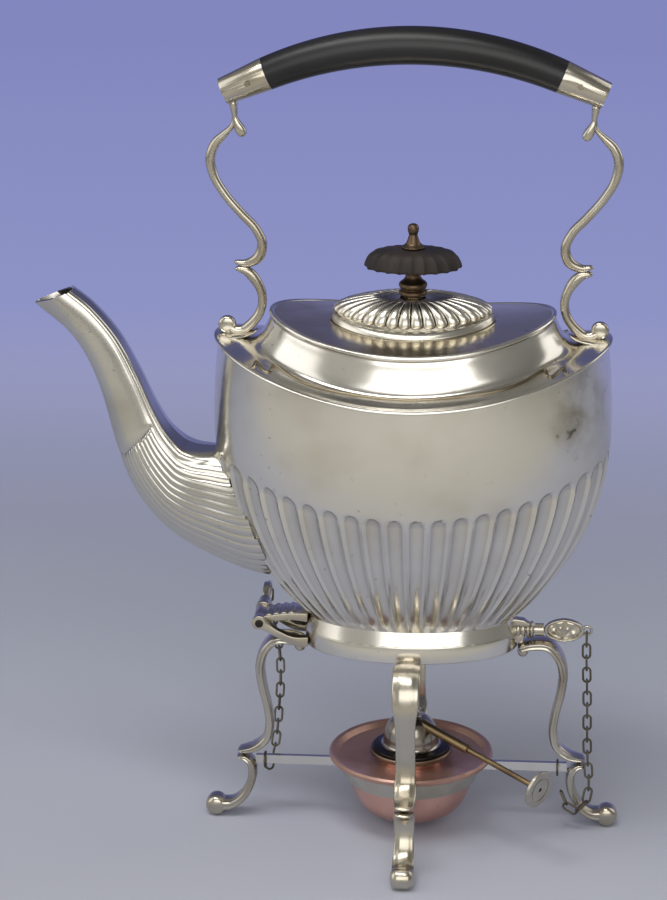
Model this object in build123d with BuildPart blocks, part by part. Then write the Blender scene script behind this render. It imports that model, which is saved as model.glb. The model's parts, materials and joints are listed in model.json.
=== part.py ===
"""Oval spirit kettle on its four-legged stand, with a hinged lid, a tilting kettle and a spirit lamp.

Millimetres, +Z up. The origin is on the table, below the middle of the stand.
+X points away from the spout, +Y to the back.
"""
from build123d import *
from math import atan2, cos, radians, sin, sqrt
import os

# ---------------------------------------------------------------- stand
stand_height = 96.0          # table to the ring's top, where the kettle stands
ring_half_length = 48.3
ring_half_width = 28.0
ring_height = 8.0
ring_width = 3.6
foot_reach_side = 90.6       # centre of the left and right foot balls, from the axis
foot_reach_front = 74.0      # the same for the front and back legs
leg_thickness = 4.4
leg_top_width = 12.6
leg_waist_width = 8.4
leg_foot_width = 11.0
foot_ball = 5.0              # radius
foot_flat = 0.4              # ground off below each foot ball
strut_height = stand_height * 0.29375   # middle of the struts, where the legs stand upright
strut_depth = 4.1
strut_thickness = 2.2

# ---------------------------------------------------------------- kettle body
body_half_length = 88.6
body_half_width = 58.0
body_wall = 1.5
rim_height = 118.3           # of the rim's low point, above the stand's ring
body_height = rim_height * 1.15   # from the foot's collar to above the rim, before the rim is cut
rim_radius = 217.0           # the rim, the ledge, the neck and the lid all follow this curve in side view
ledge_thickness = 2.0
neck_base_half_length = 70.0
neck_base_half_width = 50.0
neck_height = 18.5
neck_foot_rise = 2.7         # neck's base above the rim at the front
neck_wall = 2.0
opening_half_length = 62.0   # the bead around the top plate
opening_half_width = 44.0
bead_radius = 1.3
top_plate_thickness = 1.2
top_plate_drop = 0.9         # top plate below the bead
mouth_collar_rise = 2.2      # lid's seat above the bead
kettle_foot_height = 6.0
kettle_foot_flare = 2.4
kettle_foot_wall = 1.6

# ---------------------------------------------------------------- lid
lid_mouth_half_length = 29.0
lid_mouth_half_width = 20.5
lid_flange_half_length = 36.4
lid_flange_half_width = 25.6
lid_flange_thickness = 0.9
lid_spigot_depth = 3.0
lid_wall = 1.0
dome_half_length = 36.0
dome_half_width = 21.8
dome_lift = 2.4              # dome's edge above the flange
dome_height = 11.2
lid_clearance = 0.3
hinge_barrel = 1.7           # radius of the lid hinge's barrels
hinge_pin_radius = 0.8
hinge_length = 18.0

# ---------------------------------------------------------------- knob
stem_base_radius = 6.4
stem_neck_radius = 3.7
stem_height = 10.0
knob_half_length = 21.6
knob_half_width = 14.5
knob_height = 12.0
finial_ball = 2.6
finial_height = 11.0
screw_radius = 1.5
nut_radius = 4.2
nut_thickness = 2.4

# ---------------------------------------------------------------- spout
spout_wall = 1.6
spout_reach = 160.0          # middle of the mouth, from the stand's axis
spout_rise = 153.2           # middle of the mouth, above the stand's ring
spout_root_height = 60.0
spout_root_width = 44.0

# ---------------------------------------------------------------- handle
upright_width = 4.8
upright_depth = 5.0
shoe_half_length = 9.5
shoe_half_width = 7.5
shoe_thickness = 2.2
grip_top = 370.9             # top of the grip above the table
grip_radius = 8.3
grip_end_radius = 6.0
grip_reach = 63.6            # half the grip's length between the ferrules
grip_arch = 163.0            # radius of its centre line
ferrule_length = 20.6
ferrule_radius = 7.4
ferrule_wall = 1.2
rivet_radius = 1.1

# ---------------------------------------------------------------- pins, hinge and lock
pin_radius = 1.6
running_clearance = 0.06     # radial, pin in its bore
side_gap = 0.4               # between parts that turn or slide past each other
pivot_x = -68.6              # axis of the tilting hinge
pivot_rise = 3.5             # above the ring's top
pivot_barrel = 3.6
lug_half_width = 7.0
lug_length = 24.3            # from the axis to inside the kettle's foot
arm_width = 4.0
arm_margin = 0.5             # arms stop this far inside the ring's top and bottom faces
shell_length = 18.4
shell_half_width = 5.6
shell_thickness = 1.6
shell_border = 1.3
end_ring = 2.6               # outer radius of the small ring on a shell's end
end_ring_bore = 1.5
eye_thickness = 3.0
lock_drop = 0.4              # lock pin's axis below the ring's top
lock_standoff = 0.8          # stand's eye clear of the ring
lock_bridge = 2.0            # thickness of the plate that carries the fork
fork_lip = 1.6               # fork's reach below the pin
pin_collar = 2.9             # radius of the collar next to each shell
hinge_collar_length = 6.0
lock_collar_length = 4.0
lock_width = 8.0             # width of the stand's eye and of the kettle's fork

# ---------------------------------------------------------------- lamp
holder_top_radius = 35.0
holder_base_radius = 30.4
holder_height = 9.2
holder_wall = 1.4
lamp_rim_radius = 37.7
lamp_seat_gap = 0.3
lamp_base_radius = 14.0
lamp_foot_clearance = 5.0    # lamp's base above the table
lamp_wall = 1.2
lamp_rim_height = 2.6
burner_collar_radius = 14.5
burner_collar_height = 4.2
burner_ring_radius = 18.8
burner_ring_height = 2.2
hood_flange_radius = 17.8
hood_radius = 12.6
hood_height = 12.8
hood_neck_radius = 3.9
hood_neck_height = 8.8
hood_wall = 1.0
wick_tube_radius = 2.7
wick_tube_rise = 4.4         # above the hood's neck
wick_radius = 1.9
wick_rise = 1.2              # above its tube
wick_tail = 30.0             # length of wick below the hood's flange
spindle_radius = 1.3
sleeve_radius = 2.2
sleeve_reach = 35.0          # sleeve's end, from the lamp's axis
disc_reach = 77.5            # disc's outer face, from the same axis
spindle_turn = -38.0         # degrees from +X, seen from above
spindle_dip = 9.9            # degrees below level
disc_radius = 8.8
disc_thickness = 1.6

# ---------------------------------------------------------------- chains
link_length = 8.0
link_width = 4.4
link_wire = 0.5              # radius
pitch = link_length - 4 * link_wire - 0.25
jump_ring = 3.5              # radius to the wire's middle

os.makedirs("parts", exist_ok=True)


def save(piece, name):
    piece.label = name
    export_step(piece, f"parts/{name}.step")


def rim_sag(x):
    """Height that the boat-shaped rim gains at a distance x from the middle."""
    return rim_radius - sqrt(rim_radius**2 - x**2)


def saddle(low, high, reach=120.0):
    """Slab between two copies of the rim's curve, right through from front to back."""
    with BuildPart() as slab:
        with BuildSketch(Plane.XZ):
            with BuildLine():
                sag = rim_sag(reach)
                base = ThreePointArc((-reach, low + sag), (0, low), (reach, low + sag))
                top = ThreePointArc((-reach, high + sag), (0, high), (reach, high + sag))
                Line(base @ 0, top @ 0)
                Line(base @ 1, top @ 1)
            make_face()
        extrude(amount=reach, both=True)
    return slab.part


def oval_loft(sections):
    """Solid through upright ovals given as (height, half length, half width)."""
    with BuildPart() as body:
        for height, half_length, half_width in sections:
            with BuildSketch(Plane.XY.offset(height)):
                Ellipse(half_length, half_width)
        loft()
    return body.part


def oval(half_length, half_width, low, high):
    """Upright oval cylinder."""
    with BuildPart() as drum:
        with BuildSketch(Plane.XY.offset(low)):
            Ellipse(half_length, half_width)
        extrude(amount=high - low)
    return drum.part


def turned(profile, centre=(0, 0)):
    """Round piece about an upright axis, from (radius, height) corners."""
    with BuildPart() as piece:
        with BuildSketch(Plane.XZ):
            with BuildLine():
                Polyline(*profile, close=True)
            make_face()
        revolve(axis=Axis.Z)
    return piece.part.moved(Location((centre[0], centre[1], 0)))


def radial_plane(angle):
    """Upright plane through the axis: its x runs outwards at the angle, its y up."""
    a = radians(angle)
    return Plane((0, 0, 0), x_dir=(cos(a), sin(a), 0), z_dir=(sin(a), -cos(a), 0))


# ================================================================ stand
with BuildPart() as stand_ring:
    with BuildSketch(Plane.XY.offset(stand_height - ring_height)):
        Ellipse(ring_half_length, ring_half_width)
        Ellipse(ring_half_length - ring_width, ring_half_width - ring_width, mode=Mode.SUBTRACT)
    extrude(amount=ring_height)
    fillet(stand_ring.edges().group_by(Axis.Z)[0], ring_width / 6)
save(stand_ring.part, "stand_ring")

ring_outside = oval(ring_half_length, ring_half_width, 0, stand_height + ring_height)

# Side view of a leg. The first number counts from the ring's face towards the foot (0 to 1),
# the second is the height as a share of the stand's.
leg_upper = [(-0.02, 0.91), (0.16, 0.922), (0.325, 0.925), (0.44, 0.872), (0.496, 0.79), (0.48, 0.687),
             (0.423, 0.573), (0.40, 0.479), (0.442, 0.406), (0.572, 0.357), (0.735, 0.335)]
leg_lower = [(0.60, 0.345), (0.612, 0.25), (0.622, 0.182), (0.70, 0.102), (0.84, 0.052), (0.96, 0.05)]


def leg(angle, ring_face, reach):
    span = reach - ring_face
    width_line = [(-leg_top_width / 2, stand_height), (-leg_waist_width / 2, strut_height + strut_depth),
                  (-leg_waist_width / 2, strut_height - strut_depth), (-leg_foot_width / 2, 0)]
    side = radial_plane(angle)
    across = Plane((0, 0, 0), x_dir=side.z_dir * -1, z_dir=side.x_dir)
    with BuildPart() as strip:
        with BuildSketch(side):
            for course in (leg_upper, leg_lower):
                with BuildLine():
                    Spline(*[(ring_face + u * span, v * stand_height) for u, v in course])
                trace(line_width=leg_thickness)
            with Locations((reach, foot_ball - foot_flat)):
                Circle(foot_ball)
        extrude(amount=leg_top_width, both=True)
        with BuildSketch(across):
            with BuildLine():
                Polyline(*width_line, *[(-w, h) for w, h in reversed(width_line)], close=True)
            make_face()
        extrude(amount=reach + foot_ball * 2, mode=Mode.INTERSECT)
        add(ring_outside, mode=Mode.SUBTRACT)
        with BuildSketch(Plane.XY):
            Rectangle(4 * reach, 4 * reach)
        extrude(amount=-foot_ball, mode=Mode.SUBTRACT)
    return strip.part


leg_places = {
    "right": (0, ring_half_length, foot_reach_side),
    "back": (90, ring_half_width, foot_reach_front),
    "left": (180, ring_half_length, foot_reach_side),
    "front": (270, ring_half_width, foot_reach_front),
}
legs = {side: leg(*place) for side, place in leg_places.items()}

# The lamp holder: a plain tapered band that the struts carry.
holder_top = strut_height + holder_height / 2 - 0.6
holder_low = holder_top - holder_height
with BuildPart() as lamp_holder:
    with BuildSketch(Plane.XZ):
        with BuildLine():
            Polyline((holder_top_radius, holder_top), (holder_base_radius, holder_low),
                     (holder_base_radius - holder_wall, holder_low),
                     (holder_top_radius - holder_wall, holder_top), close=True)
        make_face()
    revolve(axis=Axis.Z)
save(lamp_holder.part, "lamp_holder")

holder_outside = turned([(0, holder_low - 1), (holder_base_radius - holder_wall / 2, holder_low - 1),
                         (holder_base_radius, holder_low), (holder_top_radius, holder_top),
                         (holder_top_radius, holder_top + 1), (0, holder_top + 1)])
for side, (angle, ring_face, reach) in leg_places.items():
    with BuildPart() as strut:
        with BuildSketch(radial_plane(angle)):
            with Locations(((holder_base_radius - holder_wall + reach) / 2, strut_height)):
                Rectangle(reach - holder_base_radius + holder_wall, strut_depth)
        extrude(amount=strut_thickness / 2, both=True)
        add(holder_outside, mode=Mode.SUBTRACT)
        add(legs[side], mode=Mode.SUBTRACT)
    inner = strut.part.solids().sort_by(lambda s: s.center().X**2 + s.center().Y**2)[0]
    save(Part(inner.wrapped), f"strut_{side}")
    save(legs[side], f"leg_{side}")

# ================================================================ kettle
kettle_seat = stand_height
collar_top = kettle_seat + kettle_foot_height
rim_z = kettle_seat + rim_height
bead_z = rim_z + neck_foot_rise + neck_height

# Shape of the bowl: height, half length and half width, each as a share of the full size.
bowl_shape = [(0.0, 0.525, 0.43), (0.075, 0.635, 0.56), (0.165, 0.745, 0.69), (0.28, 0.852, 0.82),
              (0.425, 0.942, 0.925), (0.56, 0.987, 0.98), (0.69, 1.0, 1.0), (0.83, 0.992, 0.993),
              (1.0, 0.966, 0.97)]
bowl = [(collar_top + h * body_height, l * body_half_length, w * body_half_width) for h, l, w in bowl_shape]
bowl_inside = [(z + (body_wall if z == bowl[0][0] else 0), l - body_wall, w - body_wall) for z, l, w in bowl]

# Spout: each station's place as shares of its reach and rise, its half height and half width
# as shares of the root's, and the section's lean in side view.
spout_shape = [
    (0.4375, 0.3557, 1.0000, 1.0000, 17), (0.5731, 0.3903, 0.8167, 0.8182, -1),
    (0.6575, 0.4347, 0.7000, 0.6591, -13), (0.7250, 0.5124, 0.5667, 0.5227, -28),
    (0.7688, 0.6090, 0.4433, 0.4318, -40), (0.8113, 0.7396, 0.3333, 0.3636, -51),
    (0.8594, 0.8505, 0.2833, 0.3182, -56), (0.9187, 0.9334, 0.2600, 0.2864, -54),
    (1.0000, 1.0000, 0.2933, 0.2545, -72),
]
spout_stations = [((-x * spout_reach, kettle_seat + z * spout_rise), h * spout_root_height / 2,
                   w * spout_root_width / 2, lean) for x, z, h, w, lean in spout_shape]


def spout_solid(inset):
    """The spout in two lofts that meet at one station: its wide root and its slim neck."""
    with BuildPart() as horn:
        for stretch in (spout_stations[:4], spout_stations[3:]):
            for (x, z), half_height, half_width, lean in stretch:
                a = radians(lean)
                with BuildSketch(Plane((x, 0, z), x_dir=(0, 1, 0), z_dir=(-cos(a), 0, -sin(a)))):
                    Ellipse(half_width - inset, half_height - inset)
            loft()
    return horn.part


spout_outside = spout_solid(0)
spout_inside = spout_solid(spout_wall)
bowl_outside = oval_loft(bowl)

with BuildPart() as kettle_body:
    add(bowl_outside)
    add(oval_loft(bowl_inside), mode=Mode.SUBTRACT)
    add(saddle(rim_z, rim_z + body_height), mode=Mode.SUBTRACT)
    add(spout_inside, mode=Mode.SUBTRACT)
save(kettle_body.part, "kettle_body")

with BuildPart() as spout:
    add(spout_outside)
    add(spout_inside, mode=Mode.SUBTRACT)
    add(bowl_outside, mode=Mode.SUBTRACT)
horn_only = spout.part.solids().sort_by(Axis.X)[0]
save(Part(horn_only.wrapped), "spout")

# Shoulder: the ledge, the hollow-curved neck and its bead, all bent to the rim's curve.
rim_half_length = bowl[-2][1]
rim_half_width = bowl[-2][2]
neck_shape = [(rim_z - 5, neck_base_half_length + 4.4, neck_base_half_width + 2.0),
              (rim_z + neck_height * 0.8, neck_base_half_length - 2.6, opening_half_width + 0.9),
              (bead_z + rim_sag(opening_half_length), opening_half_length, opening_half_width - 1.4),
              (bead_z * 1.1, opening_half_length, opening_half_width - 1.4)]
neck_inside = oval_loft([(z, a - neck_wall, b - neck_wall) for z, a, b in neck_shape])
with BuildPart() as shoulder_mount:
    add(saddle(rim_z, rim_z + ledge_thickness))
    add(oval(rim_half_length - body_wall / 2, rim_half_width - body_wall / 2, 0, bead_z * 2),
        mode=Mode.INTERSECT)
    add(oval_loft(neck_shape))
    add(saddle(rim_z, bead_z), mode=Mode.INTERSECT)
    add(neck_inside, mode=Mode.SUBTRACT)
save(shoulder_mount.part, "shoulder_mount")

plate_top = bead_z - top_plate_drop
lid_seat = bead_z + mouth_collar_rise
lid_mouth = oval(lid_mouth_half_length, lid_mouth_half_width, rim_z, bead_z * 2)
with BuildPart() as top_plate:
    add(saddle(plate_top - top_plate_thickness, plate_top))
    add(neck_inside, mode=Mode.INTERSECT)
    add(oval(lid_flange_half_length, lid_flange_half_width, plate_top - top_plate_thickness, bead_z * 2))
    add(saddle(plate_top - top_plate_thickness, lid_seat), mode=Mode.INTERSECT)
    add(lid_mouth, mode=Mode.SUBTRACT)
save(top_plate.part, "top_plate")

with BuildPart() as kettle_foot:
    add(oval_loft([(kettle_seat, bowl[0][1] + kettle_foot_flare * 0.75, bowl[0][2] + kettle_foot_flare),
                   (collar_top, bowl[0][1], bowl[0][2])]))
    add(oval(bowl[0][1] - kettle_foot_wall, bowl[0][2] - kettle_foot_wall, 0, collar_top), mode=Mode.SUBTRACT)
save(kettle_foot.part, "kettle_foot")

# ================================================================ lid
flange_low = lid_seat + lid_clearance
flange_top = flange_low + lid_flange_thickness
dome_edge = flange_top + dome_lift
dome_top = dome_edge + dome_height
dome_shape = [(0.0, 1.0, 1.0), (0.3, 0.93, 0.94), (0.65, 0.70, 0.73), (0.9, 0.40, 0.44), (1.0, 0.19, 0.3)]
dome = [(dome_edge + h * dome_height, l * dome_half_length, w * dome_half_width) for h, l, w in dome_shape]

spigot_length = lid_mouth_half_length - lid_clearance * 3
spigot_width = lid_mouth_half_width - lid_clearance * 3
with BuildPart() as lid_cover:
    add(oval_loft([(flange_low - 1, lid_flange_half_length, lid_flange_half_width),
                   (flange_top, lid_flange_half_length, lid_flange_half_width)]))
    add(oval_loft([(flange_top, dome_half_length, lid_flange_half_width - 1.2),
                   (dome_edge, dome_half_length, dome_half_width)]))
    add(saddle(0, flange_low), mode=Mode.SUBTRACT)
    add(oval(spigot_length, spigot_width, flange_low - lid_spigot_depth, dome_edge))
    add(oval(spigot_length - lid_wall, spigot_width - lid_wall, flange_low - lid_spigot_depth, dome_edge),
        mode=Mode.SUBTRACT)
save(lid_cover.part, "lid_cover")

with BuildPart() as lid_dome:
    add(oval_loft(dome))
    add(oval_loft([(z - (lid_wall if z > dome_edge else 0), a - lid_wall, b - lid_wall) for z, a, b in dome]),
        mode=Mode.SUBTRACT)
    with Locations((0, 0, dome_top)):
        Hole(screw_radius, depth=dome_height)
save(lid_dome.part, "lid_dome")

# ---------------------------------------------------------------- knob
knob_low = dome_top + stem_height - 1.2
knob_top = knob_low + knob_height
with BuildPart() as knob_stem:
    with BuildSketch(Plane.XZ):
        with BuildLine():
            foot_line = Polyline((screw_radius, dome_top), (stem_base_radius, dome_top),
                                 (stem_base_radius, dome_top + 2.4), (stem_neck_radius + 1.2, dome_top + 3.4))
            neck_curve = Spline(foot_line @ 1, (stem_neck_radius, dome_top + 6.0),
                                (stem_neck_radius + 0.8, dome_top + stem_height))
            Polyline(neck_curve @ 1, (screw_radius, dome_top + stem_height), (screw_radius, dome_top))
        make_face()
    revolve(axis=Axis.Z)
save(knob_stem.part, "knob_stem")

with BuildPart() as knob:
    add(oval_loft([(knob_low, knob_half_length * 0.86, knob_half_width * 0.84),
                   (knob_low + knob_height * 0.3, knob_half_length, knob_half_width),
                   (knob_low + knob_height * 0.75, knob_half_length * 0.74, knob_half_width * 0.76),
                   (knob_top, knob_half_length * 0.25, knob_half_width * 0.36)]))
    add(knob_stem.part, mode=Mode.SUBTRACT)
    with Locations((0, 0, knob_top)):
        Hole(screw_radius, depth=knob_height)
save(knob.part, "knob")

with BuildPart() as knob_finial:
    with BuildSketch(Plane.XZ):
        with BuildLine():
            Polyline((0, knob_top), (finial_ball * 2, knob_top), (finial_ball * 1.8, knob_top + 1.4),
                     (finial_ball * 0.8, knob_top + 2.4), (finial_ball * 0.85, knob_top + finial_height - 4),
                     (0, knob_top + finial_height - 4), close=True)
        make_face()
        with Locations((0, knob_top + finial_height - finial_ball)):
            Circle(finial_ball)
        with Locations((-finial_ball, knob_top + finial_height)):
            Rectangle(finial_ball * 2, finial_height * 3, mode=Mode.SUBTRACT)
    revolve(axis=Axis.Z)
save(knob_finial.part, "knob_finial")

screw_low = dome_top - lid_wall - nut_thickness - 1.5
save(turned([(0, screw_low), (screw_radius, screw_low), (screw_radius, knob_top), (0, knob_top)]),
     "knob_screw")
with BuildPart() as knob_nut:
    with BuildSketch(Plane.XY.offset(dome_top - lid_wall - nut_thickness)):
        RegularPolygon(nut_radius, 6)
        Circle(screw_radius, mode=Mode.SUBTRACT)
    extrude(amount=nut_thickness)
save(knob_nut.part, "knob_nut")

# ---------------------------------------------------------------- lid hinge, at the back
hinge_y = lid_flange_half_width + hinge_barrel + lid_clearance
hinge_z = flange_low + lid_flange_thickness
knuckle = hinge_length / 3


def hinge_part(low_x, high_x, leaf):
    """Barrel knuckle between two x positions, with its leaf given as (y, z, width, height)."""
    with BuildPart() as piece:
        with BuildSketch(Plane.YZ.offset(low_x)):
            with Locations((hinge_y, hinge_z)):
                Circle(hinge_barrel)
            with Locations(leaf[:2]):
                Rectangle(leaf[2], leaf[3], align=(Align.MIN, Align.MIN))
            with Locations((hinge_y, hinge_z)):
                Circle(hinge_pin_radius + running_clearance, mode=Mode.SUBTRACT)
        extrude(amount=high_x - low_x)
    return piece.part


back_leaf = (hinge_y, plate_top, hinge_barrel + 2.0, hinge_z - plate_top)
outer = hinge_length / 2
inner_gap = knuckle / 2 + side_gap / 2
with BuildPart() as hinge_leaf:
    add(hinge_part(-outer, -inner_gap, back_leaf))
    add(hinge_part(inner_gap, outer, back_leaf))
    add(top_plate.part, mode=Mode.SUBTRACT)
    with BuildSketch(Plane.YZ):
        with Locations((hinge_y, hinge_z)):
            Circle(hinge_pin_radius + running_clearance)
    extrude(amount=outer, both=True, mode=Mode.SUBTRACT)
save(hinge_leaf.part, "lid_hinge_leaf")

with BuildPart() as lid_knuckle:
    tongue = lid_flange_half_width - 3.0
    add(hinge_part(-knuckle / 2 + side_gap / 2, knuckle / 2 - side_gap / 2,
                   (tongue, flange_top, hinge_y - tongue, hinge_barrel * 0.7)))
    add(lid_cover.part, mode=Mode.SUBTRACT)
    with BuildSketch(Plane.YZ):
        with Locations((hinge_y, hinge_z)):
            Circle(hinge_pin_radius + running_clearance)
    extrude(amount=outer, both=True, mode=Mode.SUBTRACT)
save(Part(lid_knuckle.part.solids().sort_by(SortBy.VOLUME)[-1].wrapped), "lid_hinge_knuckle")

with BuildPart() as lid_hinge_pin:
    with BuildSketch(Plane.YZ.offset(-outer)):
        with Locations((hinge_y, hinge_z)):
            Circle(hinge_pin_radius)
    extrude(amount=hinge_length)
save(lid_hinge_pin.part, "lid_hinge_pin")

# ================================================================ handle
shoe_x = rim_half_length - shoe_half_length - 1.0
shoe_low = rim_z + ledge_thickness
with BuildPart() as shoe:
    with BuildSketch(Plane.XY.offset(shoe_low)):
        with Locations((shoe_x, 0)):
            Ellipse(shoe_half_length, shoe_half_width)
    extrude(amount=bead_z - shoe_low)
    add(saddle(shoe_low, shoe_low + shoe_thickness), mode=Mode.INTERSECT)
    add(shoulder_mount.part, mode=Mode.SUBTRACT)
shoe_right = Part(shoe.part.solids().sort_by(SortBy.VOLUME)[-1].wrapped)

# Grip: an arched bar that thins towards the ferrules, with a tenon in each.
grip_middle = grip_top - grip_radius
grip_centre = grip_middle - grip_arch
grip_end_z = grip_centre + sqrt(grip_arch**2 - grip_reach**2)
end_angle = atan2(grip_reach, grip_end_z - grip_centre)
ferrule_axis = Plane((grip_reach, 0, grip_end_z), x_dir=(0, 1, 0), z_dir=(cos(end_angle), 0, -sin(end_angle)))
tenon_radius = ferrule_radius - ferrule_wall - 0.1
tenon_length = ferrule_length * 0.7

with BuildPart() as rivet:
    rivet_place = ferrule_axis.offset(tenon_length * 0.6).origin
    with BuildSketch(Plane(rivet_place, x_dir=(1, 0, 0), z_dir=(0, -1, 0))):
        Circle(rivet_radius)
    extrude(amount=ferrule_radius + 0.2, both=True)

with BuildPart() as ferrule:
    with BuildSketch(ferrule_axis):
        Circle(ferrule_radius)
    with BuildSketch(ferrule_axis.offset(ferrule_length)):
        Circle(grip_end_radius)
    loft()
    with BuildSketch(ferrule_axis):
        Circle(ferrule_radius - ferrule_wall)
    with BuildSketch(ferrule_axis.offset(ferrule_length - 2 * ferrule_wall)):
        Circle(grip_end_radius - ferrule_wall)
    loft(mode=Mode.SUBTRACT)
    add(rivet.part, mode=Mode.SUBTRACT)

with BuildPart() as grip:
    for step in range(-4, 5):
        a = end_angle * step / 4
        radius = ferrule_radius - 0.1 + (grip_radius - ferrule_radius + 0.1) * (1 - (step / 4) ** 2)
        centre = (grip_arch * sin(a), 0, grip_centre + grip_arch * cos(a))
        with BuildSketch(Plane(centre, x_dir=(0, 1, 0), z_dir=(cos(a), 0, -sin(a)))):
            Circle(radius)
    loft()
    for plane in (ferrule_axis, Plane((-grip_reach, 0, grip_end_z), x_dir=(0, 1, 0),
                                      z_dir=(-cos(end_angle), 0, -sin(end_angle)))):
        with BuildSketch(plane):
            Circle(tenon_radius - 1.0)
        extrude(amount=tenon_length)
    for fitting in (rivet.part, ferrule.part):
        add(fitting, mode=Mode.SUBTRACT)
        add(fitting.mirror(Plane.YZ), mode=Mode.SUBTRACT)
save(grip.part, "grip")

# An upright: two scrolls in one plane. Each point is (sideways from the line between the
# upright's ends, height as a share of that line).
scroll_low = [(0.0, 0.0), (-5.1, 0.035), (-9.9, 0.095), (-10.9, 0.158), (-8.1, 0.231), (-4.0, 0.278),
              (1.0, 0.285)]
scroll_high = [(0.7, 0.307), (-4.6, 0.301), (-9.0, 0.329), (-11.2, 0.392), (-8.6, 0.455), (-2.3, 0.523),
               (4.8, 0.606), (9.8, 0.694), (10.9, 0.767), (8.5, 0.82), (3.3, 0.869), (-0.3, 0.912),
               (0.0, 1.0)]
upright_foot = (shoe_x, shoe_low + shoe_thickness + rim_sag(shoe_x) + 0.4)
under = ferrule_axis.offset(ferrule_length * 0.86).origin
upright_head = (under.X - 2.0, under.Z - grip_end_radius - 0.4)


def on_upright(sideways, share):
    x = upright_foot[0] + share * (upright_head[0] - upright_foot[0]) + sideways
    return (x, upright_foot[1] + share * (upright_head[1] - upright_foot[1]))


with BuildPart() as upright:
    with BuildSketch(Plane.XZ):
        for scroll in (scroll_low, scroll_high):
            with BuildLine():
                Spline(*[on_upright(*point) for point in scroll])
            trace(line_width=upright_width)
        with Locations(on_upright(4.4, 0.03)):
            Circle(upright_width * 0.9)
        with BuildLine():
            Polyline(on_upright(-3.2, 0.925), on_upright(-5.2, 0.852), on_upright(2.0, 0.86),
                     on_upright(1.5, 0.925), close=True)
        make_face()
        with BuildLine():
            Polyline(on_upright(-2.4, 0.95), on_upright(-2.4, 1.03), on_upright(3.2, 1.03),
                     on_upright(2.4, 0.95), close=True)
        make_face()
    extrude(amount=upright_depth / 2, both=True)
    add(saddle(0, shoe_low + shoe_thickness), mode=Mode.SUBTRACT)
    add(shoulder_mount.part, mode=Mode.SUBTRACT)
    with BuildSketch(ferrule_axis.offset(-ferrule_length)):
        Circle(ferrule_radius + (ferrule_radius - grip_end_radius))
    with BuildSketch(ferrule_axis.offset(ferrule_length)):
        Circle(grip_end_radius)
    loft(mode=Mode.SUBTRACT)
upright_right = Part(upright.part.solids().sort_by(SortBy.VOLUME)[-1].wrapped)

for name, piece in (("handle_shoe", shoe_right), ("handle_upright", upright_right),
                    ("ferrule", ferrule.part), ("grip_pin", rivet.part)):
    save(piece, f"{name}_right")
    save(Part(piece.mirror(Plane.YZ).wrapped), f"{name}_left")

# ================================================================ tilting hinge, on the left
pivot_z = kettle_seat + pivot_rise
pivot = (pivot_x, pivot_z)
bore = pin_radius + running_clearance


def cross_pin(radius, low_y, high_y):
    """Cylinder along Y on the tilting axis."""
    with BuildPart() as rod:
        with BuildSketch(Plane.XZ.offset(-high_y)):
            with Locations(pivot):
                Circle(radius)
        extrude(amount=high_y - low_y)
    return rod.part


with BuildPart() as hinge_lug:
    with BuildSketch(Plane.XZ):
        with Locations(pivot):
            Circle(pivot_barrel)
        with Locations(pivot):
            Rectangle(lug_length, pivot_barrel, align=(Align.MIN, Align.MIN))
    extrude(amount=lug_half_width, both=True)
    add(cross_pin(bore, -lug_half_width, lug_half_width), mode=Mode.SUBTRACT)
    add(kettle_foot.part, mode=Mode.SUBTRACT)
    add(bowl_outside, mode=Mode.SUBTRACT)
lug = hinge_lug.part.solids().sort_by(Axis.X)[0]
save(Part(lug.wrapped), "kettle_hinge_lug")

arm_low = lug_half_width + side_gap
arm_high = arm_low + arm_width
pin_tip = 1.4 - arm_high     # the near arm's bore is blind
arm_root_top = stand_height - arm_margin
arm_root_low = stand_height - ring_height + arm_margin
with BuildPart() as hinge_arms:
    with BuildSketch(Plane.XZ):
        with Locations(pivot):
            Circle(pivot_barrel)
        with BuildLine():
            Polyline((pivot_x, pivot_z + pivot_barrel), (-ring_half_length, arm_root_top),
                     (2 * ring_width - ring_half_length, arm_root_top),
                     (2 * ring_width - ring_half_length, arm_root_low),
                     (-ring_half_length, arm_root_low), (pivot_x, pivot_z - pivot_barrel), close=True)
        make_face()
    extrude(amount=arm_high, both=True)
    with BuildSketch(Plane.XZ):
        with Locations(pivot):
            Rectangle(4 * abs(pivot_x), 4 * ring_height)
    extrude(amount=arm_low, both=True, mode=Mode.SUBTRACT)
    add(ring_outside, mode=Mode.SUBTRACT)
    add(cross_pin(bore, pin_tip - side_gap / 2, arm_high), mode=Mode.SUBTRACT)
save(hinge_arms.part, "stand_hinge_arms")


end_ring_place = shell_length + end_ring_bore - 0.3


def shell(plane, half_width):
    """Scallop handle: a lens-shaped plate with a raised rim and an end ring, along the plane's x."""
    half = shell_length / 2
    with BuildPart() as plate:
        with BuildSketch(plane):
            with Locations((half, 0)):
                Ellipse(half, half_width)
            with Locations((end_ring_place, 0)):
                Circle(end_ring)
        extrude(amount=shell_thickness / 2, both=True)
        with BuildSketch(plane):
            with Locations((half, 0)):
                Ellipse(half, half_width)
                Ellipse(half - shell_border, half_width - shell_border, mode=Mode.SUBTRACT)
        extrude(amount=shell_thickness, both=True)
        with BuildSketch(plane):
            with Locations((end_ring_place, 0)):
                Circle(end_ring_bore)
        extrude(amount=2 * shell_thickness, both=True, mode=Mode.SUBTRACT)
    return plate.part


hinge_collar = arm_high + side_gap
shell_start = hinge_collar + hinge_collar_length
save(cross_pin(pin_radius, pin_tip, hinge_collar)
     + cross_pin(pin_collar, hinge_collar, shell_start), "hinge_pin")
save(shell(Plane((pivot_x, shell_start, pivot_z), x_dir=(0, 1, 0), z_dir=(1, 0, 0)), shell_half_width),
     "hinge_pin_shell")

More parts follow.
